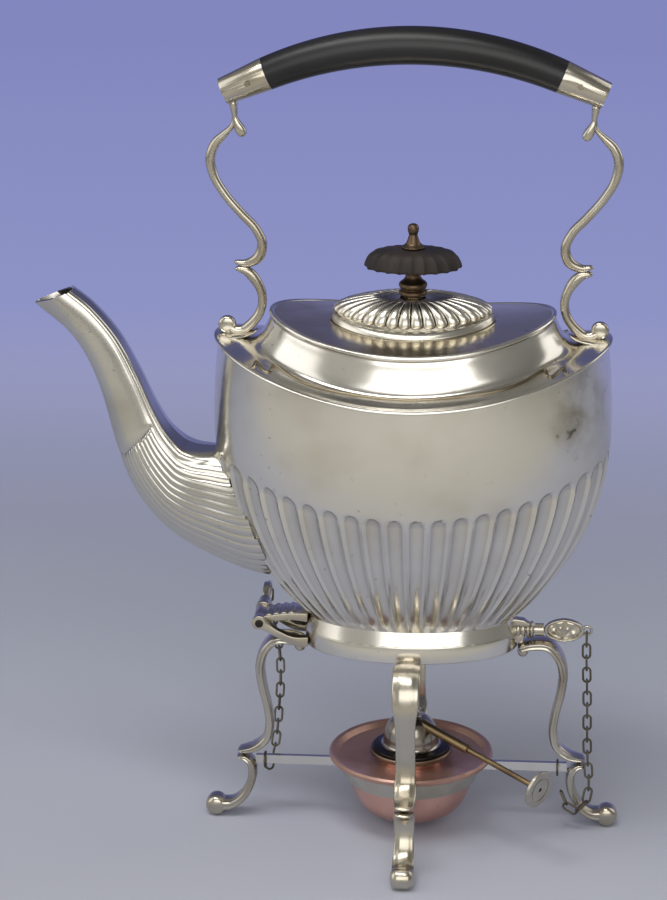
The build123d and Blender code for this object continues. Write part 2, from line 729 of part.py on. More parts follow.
# ================================================================ lock, on the right
lock_z = kettle_seat - lock_drop
eye_near = ring_half_length + lock_standoff
eye_far = eye_near + eye_thickness
fork_near = eye_far + 1.5 * side_gap
fork_far = fork_near + eye_thickness
eye_top = lock_z + pin_radius + 2.2
bridge_low = eye_top + side_gap
fork_low = lock_z - pin_radius - fork_lip
fork_slot = bore + side_gap / 2


def long_pin(radius, low_x, high_x):
    """Cylinder along X on the lock's axis."""
    with BuildPart() as rod:
        with BuildSketch(Plane.YZ.offset(low_x)):
            with Locations((0, lock_z)):
                Circle(radius)
        extrude(amount=high_x - low_x)
    return rod.part


with BuildPart() as lock_eye:
    with BuildSketch(Plane.YZ.offset(eye_near)):
        with Locations((0, arm_root_low)):
            Rectangle(lock_width, eye_top - arm_root_low, align=(Align.CENTER, Align.MIN))
    extrude(amount=eye_thickness)
    with BuildSketch(Plane.YZ.offset(ring_half_length - 3)):
        with Locations((0, arm_root_low)):
            Rectangle(lock_width, ring_height / 2, align=(Align.CENTER, Align.MIN))
    extrude(amount=eye_near - ring_half_length + 3)
    add(ring_outside, mode=Mode.SUBTRACT)
    add(long_pin(bore, eye_near, eye_far), mode=Mode.SUBTRACT)
    add(legs["right"], mode=Mode.SUBTRACT)
save(Part(lock_eye.part.solids().sort_by(SortBy.VOLUME)[-1].wrapped), "stand_lock_eye")

with BuildPart() as lock_fork:
    with BuildSketch(Plane.YZ.offset(fork_near)):
        with Locations((0, fork_low)):
            Rectangle(lock_width, bridge_low + lock_bridge - fork_low, align=(Align.CENTER, Align.MIN))
        with Locations((0, lock_z)):
            Circle(fork_slot, mode=Mode.SUBTRACT)
            Rectangle(2 * fork_slot, lock_z, align=(Align.CENTER, Align.MAX), mode=Mode.SUBTRACT)
    extrude(amount=eye_thickness)
    with BuildSketch(Plane.XY.offset(bridge_low)):
        with Locations((fork_near, 0)):
            Rectangle(fork_near - ring_half_length + 12, lock_width, align=(Align.MAX, Align.CENTER))
    extrude(amount=lock_bridge)
    add(kettle_foot.part, mode=Mode.SUBTRACT)
    add(bowl_outside, mode=Mode.SUBTRACT)
fork = lock_fork.part.solids().sort_by(Axis.X)[-1]
save(Part(fork.wrapped), "kettle_lock_fork")

lock_collar_start = fork_far + side_gap
lock_shell_start = lock_collar_start + lock_collar_length
save(long_pin(pin_radius, eye_near + 0.2, lock_collar_start)
     + long_pin(pin_collar, lock_collar_start, lock_shell_start), "lock_pin")
save(shell(Plane((lock_shell_start, 0, lock_z), x_dir=(1, 0, 0), z_dir=(0, -1, 0)), shell_half_width),
     "lock_pin_shell")

# ================================================================ lamp
rim_low = holder_top + lamp_seat_gap
rim_high = rim_low + lamp_rim_height
dish = rim_low - 2.7
with BuildPart() as lamp_top:
    add(turned([(burner_collar_radius - 2.4, dish - lamp_wall), (burner_collar_radius + 1, dish - lamp_wall),
                (holder_top_radius - 2, rim_low - lamp_wall), (holder_top_radius - 2, rim_low),
                (lamp_rim_radius - 0.6, rim_low), (lamp_rim_radius, rim_low + 0.6),
                (lamp_rim_radius, rim_high - 0.8), (lamp_rim_radius - 0.9, rim_high),
                (holder_top_radius, rim_high - 0.4),
                (holder_top_radius - 2, rim_low + 0.3), (burner_collar_radius + 1, dish),
                (burner_collar_radius - 2.4, dish)]))
save(lamp_top.part, "lamp_top")

seat_slope = (holder_top_radius - holder_base_radius) / holder_height
bowl_gap = holder_wall + 0.5
bowl_waist = holder_base_radius - bowl_gap
bowl_rim = bowl_waist + seat_slope * (rim_low - 1.6 - holder_low)
base = lamp_foot_clearance
with BuildPart() as lamp_bowl:
    with BuildSketch(Plane.XZ):
        with BuildLine():
            flat = Line((0, base), (lamp_base_radius, base))
            side = Spline(flat @ 1, (lamp_base_radius + 0.62 * (bowl_waist - lamp_base_radius), base + 4.2),
                          (bowl_waist - 1.3, base + 12), (bowl_waist, holder_low))
            slope = Line(side @ 1, (bowl_rim, rim_low - 1.6))
            lip = Line(slope @ 1, (bowl_rim - lamp_wall, rim_low - 1.6))
            inner_slope = Line(lip @ 1, (bowl_waist - lamp_wall, holder_low))
            inner = Spline(inner_slope @ 1, (bowl_waist - 1.3 - lamp_wall, base + 12),
                           (lamp_base_radius + 0.6 * (bowl_waist - lamp_base_radius) - lamp_wall, base + 5),
                           (lamp_base_radius - lamp_wall, base + lamp_wall))
            Polyline(inner @ 1, (0, base + lamp_wall), (0, base))
        make_face()
    revolve(axis=Axis.Z)
    add(lamp_top.part, mode=Mode.SUBTRACT)
save(Part(lamp_bowl.part.solids().sort_by(SortBy.VOLUME)[-1].wrapped), "lamp_bowl")

collar_high = dish + burner_collar_height
ring_high = collar_high + burner_ring_height
flange_high = ring_high + 1.2
hood_top = flange_high + hood_height
neck_top = hood_top + hood_neck_height
tube_low = flange_high - wick_tail + 12
tube_high = neck_top + wick_tube_rise
tube_bore = wick_radius + running_clearance
save(turned([(burner_collar_radius - lamp_wall, dish), (burner_collar_radius, dish),
             (burner_collar_radius, collar_high), (burner_collar_radius - lamp_wall, collar_high)]),
     "burner_collar")
save(turned([(wick_tube_radius, collar_high), (burner_ring_radius - 0.5, collar_high),
             (burner_ring_radius, collar_high + 0.5), (burner_ring_radius, ring_high - 0.5),
             (burner_ring_radius - 0.5, ring_high), (wick_tube_radius, ring_high)]), "burner_ring")
save(turned([(tube_bore, tube_low), (wick_tube_radius, tube_low), (wick_tube_radius, tube_high),
             (tube_bore, tube_high)]), "wick_tube")
save(turned([(0, flange_high - wick_tail), (wick_radius, flange_high - wick_tail),
             (wick_radius, tube_high + wick_rise), (0, tube_high + wick_rise)]), "wick")

# The wick's spindle slopes outwards and down from the hood, through its sleeve, to the thumb disc.
turn, dip = radians(spindle_turn), radians(spindle_dip)
spindle_dir = (cos(turn) * cos(dip), sin(turn) * cos(dip), -sin(dip))
spindle_plane = Plane((0, 0, hood_top + 0.4), x_dir=(-sin(turn), cos(turn), 0), z_dir=spindle_dir)


def along_spindle(radius, start, end, inner_radius=0.0):
    with BuildPart() as rod:
        with BuildSketch(spindle_plane.offset(start)):
            Circle(radius)
            if inner_radius:
                Circle(inner_radius, mode=Mode.SUBTRACT)
        extrude(amount=end - start)
    return rod.part


sleeve_start = wick_tube_radius + 1.2
disc_start = disc_reach - disc_thickness
with BuildPart() as hood:
    with BuildSketch(Plane.XZ):
        with BuildLine():
            outer_foot = Polyline((hood_radius - hood_wall, ring_high), (hood_flange_radius, ring_high),
                                  (hood_flange_radius, flange_high), (hood_radius, flange_high))
            bell = Spline(outer_foot @ 1, (hood_radius * 0.86, flange_high + hood_height * 0.5),
                          (hood_radius * 0.52, flange_high + hood_height * 0.88),
                          (hood_neck_radius, hood_top))
            neck = Polyline(bell @ 1, (hood_neck_radius, neck_top), (wick_tube_radius, neck_top),
                            (wick_tube_radius, hood_top - hood_wall))
            under = Spline(neck @ 1, (hood_radius * 0.5 - hood_wall, flange_high + hood_height * 0.82),
                           (hood_radius * 0.84 - hood_wall, flange_high + hood_height * 0.45),
                           (hood_radius - hood_wall, ring_high))
        make_face()
    revolve(axis=Axis.Z)
    add(along_spindle(sleeve_radius, 0, sleeve_reach), mode=Mode.SUBTRACT)
save(Part(hood.part.solids().sort_by(SortBy.VOLUME)[-1].wrapped), "burner_hood")
save(along_spindle(sleeve_radius, sleeve_start, sleeve_reach, spindle_radius + running_clearance),
     "spindle_sleeve")
save(along_spindle(spindle_radius, sleeve_start + 0.2, disc_start), "wick_spindle")
with BuildPart() as thumb_disc:
    with BuildSketch(spindle_plane.offset(disc_start)):
        Circle(disc_radius)
    extrude(amount=disc_thickness)
    fillet(thumb_disc.edges(), disc_thickness / 4)
    with BuildSketch(spindle_plane.offset(disc_start)):
        Circle(1.0)
    extrude(amount=disc_thickness, mode=Mode.SUBTRACT)
    with BuildSketch(spindle_plane.offset(disc_reach - 0.3)):
        Circle(disc_radius * 0.66)
        Circle(disc_radius * 0.6, mode=Mode.SUBTRACT)
    extrude(amount=1, mode=Mode.SUBTRACT)
save(thumb_disc.part, "thumb_disc")

# ================================================================ chains
with BuildPart() as link:
    with BuildLine():
        straight = (link_length - link_width) / 2
        half = link_width / 2 - link_wire
        rise = Line((half, 0, -straight), (half, 0, straight))
        ThreePointArc(rise @ 1, (0, 0, straight + half), (-half, 0, straight))
        Line((-half, 0, straight), (-half, 0, -straight))
        ThreePointArc((-half, 0, -straight), (0, 0, -straight - half), rise @ 0)
    with BuildSketch(Plane((half, 0, -straight), z_dir=(0, 0, 1))):
        Circle(link_wire)
    sweep()


def chain(points, first_turn):
    """Links along a curve, each turned a quarter from the last."""
    course = Spline(*points)
    links = []
    for number in range(int(course.length / pitch)):
        share = (number + 0.5) * pitch / course.length
        along = course % share
        side = along.cross(Vector(0, 1, 0)).normalized()
        if (number + first_turn) % 2:
            side = along.cross(side)
        links.append(link.part.moved(Plane(course @ share, x_dir=side, z_dir=along).location))
    return Compound(children=links)


def strut_ring(x):
    """Jump ring that hangs on a strut."""
    with BuildPart() as ring:
        with BuildSketch(Plane.XZ):
            with Locations((jump_ring, 0)):
                Circle(link_wire)
        revolve(axis=Axis.Z)
    z = strut_height + strut_depth / 2 + side_gap + link_wire - jump_ring
    return ring.part.moved(Location((x, 0, z), (0, 90, 0)))


strut_ring_x = ring_half_length + (foot_reach_side - ring_half_length) * 0.456
lock_ring_x = lock_shell_start + end_ring_place
hinge_ring_y = shell_start + end_ring_place
hook = end_ring_bore - 0.2   # the first link's start, below the middle of a shell's end ring
heap_x = foot_reach_side - 10.0   # where the right chain lies on the foot
heap_y = -2 * link_width
heap_z = foot_ball + 6.0
chain_right = chain([
    (lock_ring_x, 0, lock_z - hook), (lock_ring_x, 0, lock_z - hook - pitch),
    (heap_x, heap_y / 8, lock_z * 0.63), (heap_x + 0.9, heap_y * 0.4, lock_z / 3),
    (heap_x + 1.0, heap_y * 0.8, heap_z + 6.5), (heap_x - 1.6, heap_y, heap_z + 1.5),
    (heap_x - 6, heap_y, heap_z), (strut_ring_x + 3.4, heap_y * 0.75, heap_z + 4),
    (strut_ring_x, heap_y / 4, strut_height - link_length - 0.7),
], 1)
chain_left = chain([
    (pivot_x, hinge_ring_y, pivot_z - hook), (pivot_x, hinge_ring_y, pivot_z - hook - pitch),
    (pivot_x + 3.6, hinge_ring_y * 0.94, pivot_z * 0.76), (pivot_x + 5.6, hinge_ring_y * 0.8, pivot_z * 0.62),
    (pivot_x + 5.6, hinge_ring_y * 0.54, pivot_z * 0.45), (pivot_x + 4.1, hinge_ring_y * 0.24, strut_height),
    (-strut_ring_x, hinge_ring_y * 0.06, strut_height - link_length - 0.7),
], 0)
save(chain_right, "chain_right")
save(chain_left, "chain_left")
save(strut_ring(strut_ring_x), "chain_ring_right")
save(strut_ring(-strut_ring_x), "chain_ring_left")
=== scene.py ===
import json
import math
import bpy
import numpy as np
from mathutils import Matrix, Vector

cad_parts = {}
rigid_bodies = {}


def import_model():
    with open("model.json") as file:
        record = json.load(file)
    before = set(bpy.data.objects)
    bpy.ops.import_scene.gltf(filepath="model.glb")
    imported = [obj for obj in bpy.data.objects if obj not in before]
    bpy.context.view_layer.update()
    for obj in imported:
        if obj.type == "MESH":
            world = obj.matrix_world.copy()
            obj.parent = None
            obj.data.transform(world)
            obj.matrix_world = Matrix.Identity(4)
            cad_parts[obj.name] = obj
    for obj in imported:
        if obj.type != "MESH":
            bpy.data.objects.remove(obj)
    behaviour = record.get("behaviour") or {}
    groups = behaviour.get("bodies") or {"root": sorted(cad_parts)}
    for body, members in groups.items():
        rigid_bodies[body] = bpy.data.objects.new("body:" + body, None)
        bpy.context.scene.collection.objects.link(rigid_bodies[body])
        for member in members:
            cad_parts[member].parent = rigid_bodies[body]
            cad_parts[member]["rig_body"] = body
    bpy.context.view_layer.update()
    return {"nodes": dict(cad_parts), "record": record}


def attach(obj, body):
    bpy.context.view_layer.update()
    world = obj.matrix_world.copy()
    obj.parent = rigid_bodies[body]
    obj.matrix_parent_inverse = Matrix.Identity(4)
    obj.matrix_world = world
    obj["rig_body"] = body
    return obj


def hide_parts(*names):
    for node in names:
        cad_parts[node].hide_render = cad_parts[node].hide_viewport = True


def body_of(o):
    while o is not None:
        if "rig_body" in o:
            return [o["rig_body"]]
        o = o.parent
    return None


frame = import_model()
mm = 0.001

print("camera and studio")
studio = {
    "lens": 122.3, "distance": 1367.0, "azimuth": 4.5, "elevation": 18.1, "roll": -0.22,
    "aside": -35.23, "height": 180.25,
    "floorSize": 6.0, "sweepNear": -0.7, "sweepFar": 2.1, "bendRadius": 0.8, "bendSteps": 12,
    "wallHeight": 2.5, "shadowEnd": 0.75, "shadowFade": 0.4, "floorGain": 1.25, "shadeHeights": (0.1, 1.2),
    "highShade": 0.42,
    "sweepColours": [(0.0, (0.50, 0.49, 0.455)), (0.13, (0.485, 0.475, 0.445)), (0.20, (0.405, 0.42, 0.49)),
                     (0.346, (0.34, 0.365, 0.45)), (0.496, (0.305, 0.318, 0.52)),
                     (0.568, (0.268, 0.292, 0.56)), (0.943, (0.225, 0.242, 0.515))],
    "roomFront": (0.50, 0.485, 0.45), "roomTop": (0.20, 0.195, 0.18), "roomRight": 0.45,
    "lamps": {
        "frontPanel": ((0.15, -1.45, 0.80), (0, 0, 0.22), (1.5, 1.0), 8.5, (1, 0.985, 0.95)),
        "highPanel": ((-0.3, -0.55, 1.75), (0, 0, 0.2), (1.2, 0.4), 11, (1, 0.985, 0.95)),
        "leftPanel": ((-1.5, -0.4, 1.0), (0, 0, 0.18), (1.3, 1.4), 6, (1, 0.99, 0.97)),
        "rightEdge": ((1.2, 0.5, 0.9), (0, 0, 0.2), (0.9, 1.2), 3.5, (1, 0.97, 0.92)),
    },
}


def clearSelection():
    if bpy.context.object and bpy.context.object.mode != "OBJECT":
        bpy.ops.object.mode_set(mode="OBJECT")
    bpy.ops.object.select_all(action="DESELECT")


def setUpCamera(s):
    turn, tilt, roll = (math.radians(s[key]) for key in ("azimuth", "elevation", "roll"))
    back = Vector((math.sin(turn) * math.cos(tilt), -math.cos(turn) * math.cos(tilt), math.sin(tilt)))
    level = Vector((math.cos(turn), math.sin(turn), 0))
    upward = back.cross(level)
    right = math.cos(roll) * level + math.sin(roll) * upward
    up = math.cos(roll) * upward - math.sin(roll) * level
    target = Vector((0, 0, s["height"])) + s["aside"] * level
    place = (target + s["distance"] * back) * mm
    bpy.ops.object.camera_add()
    camera = bpy.context.object
    camera.name = "productCamera"
    camera.data.sensor_fit = "VERTICAL"
    camera.data.sensor_height = 36
    camera.data.lens = s["lens"]
    camera.data.clip_start = 0.05
    camera.data.clip_end = 30
    camera.matrix_world = Matrix((
        (right.x, up.x, back.x, place.x), (right.y, up.y, back.y, place.y),
        (right.z, up.z, back.z, place.z), (0, 0, 0, 1)))
    bpy.context.scene.camera = camera


def areaLamp(name, place, target, size, power, colour=(1, 1, 1)):
    clearSelection()
    aim = (Vector(target) - Vector(place)).to_track_quat("-Z", "Y").to_euler()
    bpy.ops.object.light_add(type="AREA", location=place, rotation=aim)
    lamp = bpy.context.object
    lamp.name = name
    lamp.data.shape = "RECTANGLE"
    lamp.data.size, lamp.data.size_y = size
    lamp.data.energy = power
    lamp.data.color = colour


def nodeMaterial(name):
    material = bpy.data.materials.new(name)
    material.use_nodes = True
    return material, material.node_tree, material.node_tree.nodes["Principled BSDF"]


def noiseNode(tree, vector, scale, detail):
    noise = tree.nodes.new("ShaderNodeTexNoise")
    noise.inputs["Scale"].default_value = scale
    noise.inputs["Detail"].default_value = detail
    tree.links.new(vector, noise.inputs["Vector"])
    return noise.outputs["Fac"]


def rangeNode(tree, value, low=0.0, high=1.0, atLow=0.0, atHigh=1.0):
    # carries low to atLow and high to atHigh, and stays there beyond them
    spread = tree.nodes.new("ShaderNodeMapRange")
    for key, number in (("From Min", low), ("From Max", high), ("To Min", atLow), ("To Max", atHigh)):
        spread.inputs[key].default_value = number
    tree.links.new(value, spread.inputs["Value"])
    return spread.outputs[0]


def mixNode(tree, share, first, second):
    # each of the two is a colour or the socket that gives one
    tone = tree.nodes.new("ShaderNodeMix")
    tone.data_type = "RGBA"
    for place, colour in ((6, first), (7, second)):
        if isinstance(colour, tuple):
            tone.inputs[place].default_value = (*colour, 1)
        else:
            tree.links.new(colour, tone.inputs[place])
    tree.links.new(share, tone.inputs["Factor"])
    return tone.outputs[2]


def bumpNode(tree, surface, height, strength, distance):
    bump = tree.nodes.new("ShaderNodeBump")
    bump.inputs["Strength"].default_value = strength
    bump.inputs["Distance"].default_value = distance
    tree.links.new(height, bump.inputs["Height"])
    tree.links.new(bump.outputs[0], surface.inputs["Normal"])


def placeNode(tree, kind="Object"):
    return tree.nodes.new("ShaderNodeTexCoord").outputs[kind]


def splitNode(tree, vector):
    split = tree.nodes.new("ShaderNodeSeparateXYZ")
    tree.links.new(vector, split.inputs[0])
    return split.outputs


def backdropMaterial(s):
    # floor that takes the shadow near the object; further back it glows in the backdrop's own colours
    material, tree, surface = nodeMaterial("paleBackdrop")
    nodes, links = tree.nodes, tree.links
    split = splitNode(tree, placeNode(tree))
    ramp = nodes.new("ShaderNodeValToRGB")
    links.new(rangeNode(tree, split["Y"], s["sweepNear"], s["sweepFar"]), ramp.inputs["Fac"])
    while len(ramp.color_ramp.elements) < len(s["sweepColours"]):
        ramp.color_ramp.elements.new(0.5)
    for element, (share, colour) in zip(ramp.color_ramp.elements, s["sweepColours"]):
        element.position = share
        element.color = (*colour, 1)
    glow = nodes.new("ShaderNodeEmission")
    links.new(ramp.outputs["Color"], glow.inputs["Color"])
    links.new(rangeNode(tree, split["Z"], *s["shadeHeights"], 1.0, s["highShade"]), glow.inputs["Strength"])
    brighten = nodes.new("ShaderNodeMix")
    brighten.data_type = "RGBA"
    brighten.blend_type = "MULTIPLY"
    brighten.inputs["Factor"].default_value = 1.0
    brighten.inputs[7].default_value = (s["floorGain"],) * 3 + (1,)
    links.new(ramp.outputs["Color"], brighten.inputs[6])
    links.new(brighten.outputs[2], surface.inputs["Base Color"])
    surface.inputs["Roughness"].default_value = 0.9
    surface.inputs["Specular IOR Level"].default_value = 0.1
    far = nodes.new("ShaderNodeMapRange")
    far.inputs["From Min"].default_value = s["shadowEnd"] - s["shadowFade"]
    far.inputs["From Max"].default_value = s["shadowEnd"]
    far.interpolation_type = "SMOOTHSTEP"
    links.new(split["Y"], far.inputs["Value"])
    mix = nodes.new("ShaderNodeMixShader")
    links.new(far.outputs[0], mix.inputs[0])
    links.new(surface.outputs[0], mix.inputs[1])
    links.new(glow.outputs[0], mix.inputs[2])
    links.new(mix.outputs[0], nodes["Material Output"].inputs["Surface"])
    return material


def roomWorld(s):
    # plain warm room in front, dimmer to the right and overhead
    world = bpy.data.worlds.new("softRoom")
    bpy.context.scene.world = world
    world.use_nodes = True
    tree = world.node_tree
    split = splitNode(tree, placeNode(tree, "Generated"))
    tone = mixNode(tree, rangeNode(tree, split["Z"], 0.05, 0.85), s["roomFront"], s["roomTop"])
    side = rangeNode(tree, split["X"], 0.1, 0.95, 1.0, s["roomRight"])
    tree.links.new(tone, tree.nodes["Background"].inputs["Color"])
    tree.links.new(side, tree.nodes["Background"].inputs["Strength"])


def buildStudio(s):
    # floor that sweeps up into the backdrop: a plane whose far edge is extruded in steps along an arc
    clearSelection()
    bpy.ops.mesh.primitive_plane_add(size=s["floorSize"], location=(0, -0.9, 0))
    sweep = bpy.context.object
    sweep.name = "floorSweep"
    bpy.ops.object.transform_apply(location=True)
    bpy.ops.object.mode_set(mode="EDIT")
    bpy.ops.mesh.select_all(action="DESELECT")
    bpy.ops.object.mode_set(mode="OBJECT")
    farEdge = max(vertex.co.y for vertex in sweep.data.vertices)
    for vertex in sweep.data.vertices:
        vertex.select = vertex.co.y > farEdge - 0.01
    bpy.ops.object.mode_set(mode="EDIT")
    bend, steps = s["bendRadius"], s["bendSteps"]
    for step in range(steps):
        a, b = (math.pi / 2 * k / steps for k in (step, step + 1))
        move = (0, bend * (math.sin(b) - math.sin(a)), bend * (math.cos(a) - math.cos(b)))
        bpy.ops.mesh.extrude_region_move(TRANSFORM_OT_translate={"value": move})
    bpy.ops.mesh.extrude_region_move(TRANSFORM_OT_translate={"value": (0, 0, s["wallHeight"])})
    bpy.ops.object.mode_set(mode="OBJECT")
    bpy.ops.object.shade_smooth()
    sweep.data.materials.append(backdropMaterial(s))
    roomWorld(s)
    for name, (place, target, size, power, colour) in s["lamps"].items():
        areaLamp(name, place, target, size, power, colour)
    bpy.context.scene.view_settings.view_transform = "Standard"


setUpCamera(studio)
buildStudio(studio)

print("materials")


def mottledMetal(name, clean, stained, roughness, stains=0.35, dents=0.02, speck=0.0, hollowShade=0.0):
    # plate with cloudy tarnish, uneven polish, faint waves, dark pits and painted shade in its hollows
    material, tree, surface = nodeMaterial(name)
    surface.inputs["Metallic"].default_value = 1.0
    place = placeNode(tree)
    cloud = noiseNode(tree, place, 38, 3)
    pits = noiseNode(tree, place, 320, 3)
    colour = mixNode(tree, rangeNode(tree, cloud, 0.46, 0.78, 0.0, stains), clean, stained)
    dark = tuple(part * 0.25 for part in stained)
    colour = mixNode(tree, rangeNode(tree, pits, 0.70, 0.76, 0.0, speck), colour, dark)
    if hollowShade:
        # painted shade: darker where the surface is hollow, in a darkened tarnish colour
        shape = tree.nodes.new("ShaderNodeNewGeometry").outputs["Pointiness"]
        hollowShadeColour = tuple(part * share for part, share in zip(stained, (0.30, 0.28, 0.26)))
        colour = mixNode(tree, rangeNode(tree, shape, 0.465, 0.498, hollowShade, 0.0), colour, hollowShadeColour)
    tree.links.new(colour, surface.inputs["Base Color"])
    polish = rangeNode(tree, cloud, atLow=roughness * 0.7, atHigh=roughness * 1.5)
    tree.links.new(polish, surface.inputs["Roughness"])
    bumpNode(tree, surface, noiseNode(tree, place, 22, 2), dents, 0.01)
    return material


def ebonisedWood(name, dark, worn, roughness, grain):
    # black stain over fine grain, which the grain's scale along each axis draws out
    material, tree, surface = nodeMaterial(name)
    stretch = tree.nodes.new("ShaderNodeMapping")
    stretch.inputs["Scale"].default_value = grain
    tree.links.new(placeNode(tree), stretch.inputs["Vector"])
    fibres = noiseNode(tree, stretch.outputs[0], 60, 7)
    colour = mixNode(tree, rangeNode(tree, fibres, 0.42, 0.80), dark, worn)
    tree.links.new(colour, surface.inputs["Base Color"])
    polish = rangeNode(tree, fibres, atLow=roughness * 0.85, atHigh=roughness * 1.25)
    tree.links.new(polish, surface.inputs["Roughness"])
    bumpNode(tree, surface, fibres, 0.12, 0.0006)
    return material


def wovenCotton(name, clean, charred, charFrom, charTo):
    # braided wick, charred towards its upper end
    material, tree, surface = nodeMaterial(name)
    place = placeNode(tree)
    char = rangeNode(tree, splitNode(tree, place)["Z"], charFrom, charTo)
    tree.links.new(mixNode(tree, char, clean, charred), surface.inputs["Base Color"])
    surface.inputs["Roughness"].default_value = 0.95
    weave = tree.nodes.new("ShaderNodeTexWave")
    weave.inputs["Scale"].default_value = 900
    weave.bands_direction = "DIAGONAL"
    tree.links.new(place, weave.inputs["Vector"])
    bumpNode(tree, surface, weave.outputs["Fac"], 0.5, 0.0003)
    return material


finishes = {
    "silver": mottledMetal("silverPlate", (0.80, 0.78, 0.73), (0.56, 0.51, 0.41), 0.17, 0.45, 0.05, 0.5, 0.9),
    "warm_silver": mottledMetal(
        "wornSilverPlate", (0.58, 0.545, 0.47), (0.36, 0.29, 0.19), 0.22, 0.7, 0.05, 0.2),
    "holder_silver": mottledMetal(
        "dullSilverPlate", (0.58, 0.56, 0.49), (0.36, 0.30, 0.20), 0.32, 0.8, 0.05, 0.6),
    "steel": mottledMetal("rivetSteel", (0.34, 0.30, 0.25), (0.12, 0.09, 0.07), 0.40, 0.8),
    "ebony": ebonisedWood("blackGripWood", (0.004, 0.004, 0.006), (0.018, 0.018, 0.022), 0.36, (0.12, 1, 1)),
    "knob_wood": ebonisedWood(
        "brownKnobWood", (0.007, 0.005, 0.005), (0.045, 0.030, 0.026), 0.60, (1, 1, 0.3)),
    "brass": mottledMetal("tarnishedBrass", (0.30, 0.22, 0.12), (0.10, 0.065, 0.045), 0.34, 0.9, 0.04, 0.5),
    "copper": mottledMetal("pinkCopper", (0.78, 0.47, 0.38), (0.50, 0.24, 0.21), 0.22, 0.6, 0.05, 0.6),
    "nickel": mottledMetal("wornNickel", (0.52, 0.49, 0.42), (0.22, 0.17, 0.11), 0.26, 0.8, 0.05, 0.7),
    "dark_metal": mottledMetal("heatDarkMetal", (0.28, 0.20, 0.15), (0.08, 0.05, 0.04), 0.42, 0.9, 0.05, 0.5),
    "wick_cotton": wovenCotton("wickCotton", (0.55, 0.48, 0.38), (0.05, 0.04, 0.035), 0.060, 0.064),
    "chain_metal": mottledMetal("darkChain", (0.17, 0.15, 0.12), (0.05, 0.04, 0.03), 0.34, 0.9),
}
slotOf = {row["node"]: row["material_slot"] for row in frame["record"]["subparts"]}
for node, piece in frame["nodes"].items():
    for place in range(len(piece.material_slots)):
        piece.material_slots[place].material = finishes[slotOf[node]]
    if not piece.material_slots:
        piece.data.materials.append(finishes[slotOf[node]])

lampTopFinish = mottledMetal("brownedCopper", (0.46, 0.28, 0.23), (0.24, 0.12, 0.10), 0.34, 0.9, 0.05, 0.5)
lampTopFinish.node_tree.nodes["Principled BSDF"].inputs["Metallic"].default_value = 0.6
frame["nodes"]["lamp_top"].material_slots[0].material = lampTopFinish
darkBronze = mottledMetal("darkBronze", (0.15, 0.105, 0.068), (0.045, 0.032, 0.026), 0.38, 0.9, 0.05, 0.5)
# dark finish: soot on the hood's brim, and painted shade on the web between the hinge arms
sootAndShadeMetal = mottledMetal("sootAndShadeMetal", (0.050, 0.045, 0.042), (0.02, 0.016, 0.014), 0.28, 0.9, 0.05, 0.5)
# dark finish for the raised line on the ledge: painted shade along the line
lineShadeMetal = mottledMetal("lineShadeMetal", (0.33, 0.28, 0.20), (0.10, 0.08, 0.05), 0.25, 0.9, 0.05, 0.5)
plateSilver = mottledMetal("plateSilver", (0.80, 0.73, 0.58), (0.46, 0.37, 0.24), 0.20, 0.8, 0.05, 0.5)
softSilver = mottledMetal("brushedSilver", (0.74, 0.71, 0.64), (0.50, 0.44, 0.33), 0.25, 0.5, 0.05, 0.5, 0.95)

print("shared shapes")
bodyOf = {node: body_of(piece)[0] for node, piece in frame["nodes"].items()}


def finishPiece(piece, node, smoothing=40):
    # the finish of the node that the piece stands for, crisp edges, and its place in the frame
    clearSelection()
    piece.select_set(True)
    bpy.context.view_layer.objects.active = piece
    bpy.ops.object.shade_smooth_by_angle(angle=math.radians(smoothing))
    piece.name = node + "Dressed"
    piece.data.materials.clear()
    piece.data.materials.append(finishes[slotOf[node]])
    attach(piece, bodyOf[node])
    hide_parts(node)
    return piece


def mergeAndFaceOut(piece, gap=1e-6):
    bpy.context.view_layer.objects.active = piece
    bpy.ops.object.mode_set(mode="EDIT")
    bpy.ops.mesh.select_all(action="SELECT")
    bpy.ops.mesh.remove_doubles(threshold=gap)
    bpy.ops.mesh.normals_make_consistent(inside=False)
    bpy.ops.object.mode_set(mode="OBJECT")


def capRims(piece):
    # closes the open ends of a sheet
    clearSelection()
    piece.select_set(True)
    bpy.context.view_layer.objects.active = piece
    bpy.ops.object.mode_set(mode="EDIT")
    bpy.ops.mesh.select_all(action="SELECT")
    bpy.ops.mesh.fill_holes(sides=0)
    bpy.ops.mesh.normals_make_consistent(inside=False)
    bpy.ops.object.mode_set(mode="OBJECT")


def applyModifier(piece, kind, **values):
    clearSelection()
    piece.select_set(True)
    bpy.context.view_layer.objects.active = piece
    modifier = piece.modifiers.new(kind, kind)
    for key, value in values.items():
        setattr(modifier, key, value)
    bpy.ops.object.modifier_apply(modifier=modifier.name)


def wrappedSheet(name, columns, rows, place, wall=0.0):
    # a grid whose u runs round the piece and v along it, set out in millimetres by place(u, v)
    clearSelection()
    bpy.ops.mesh.primitive_grid_add(x_subdivisions=columns, y_subdivisions=rows, size=1)
    sheet = bpy.context.object
    sheet.name = name
    corners = np.empty(len(sheet.data.vertices) * 3)
    sheet.data.vertices.foreach_get("co", corners)
    u, v = corners.reshape(-1, 3)[:, 0] + 0.5, corners.reshape(-1, 3)[:, 1] + 0.5
    points = np.stack(np.broadcast_arrays(*place(u, v)), axis=1) * mm
    sheet.data.vertices.foreach_set("co", points.ravel())
    sheet.data.update()
    mergeAndFaceOut(sheet)
    if wall:
        applyModifier(sheet, "SOLIDIFY", thickness=wall * mm, offset=-1)
    return sheet


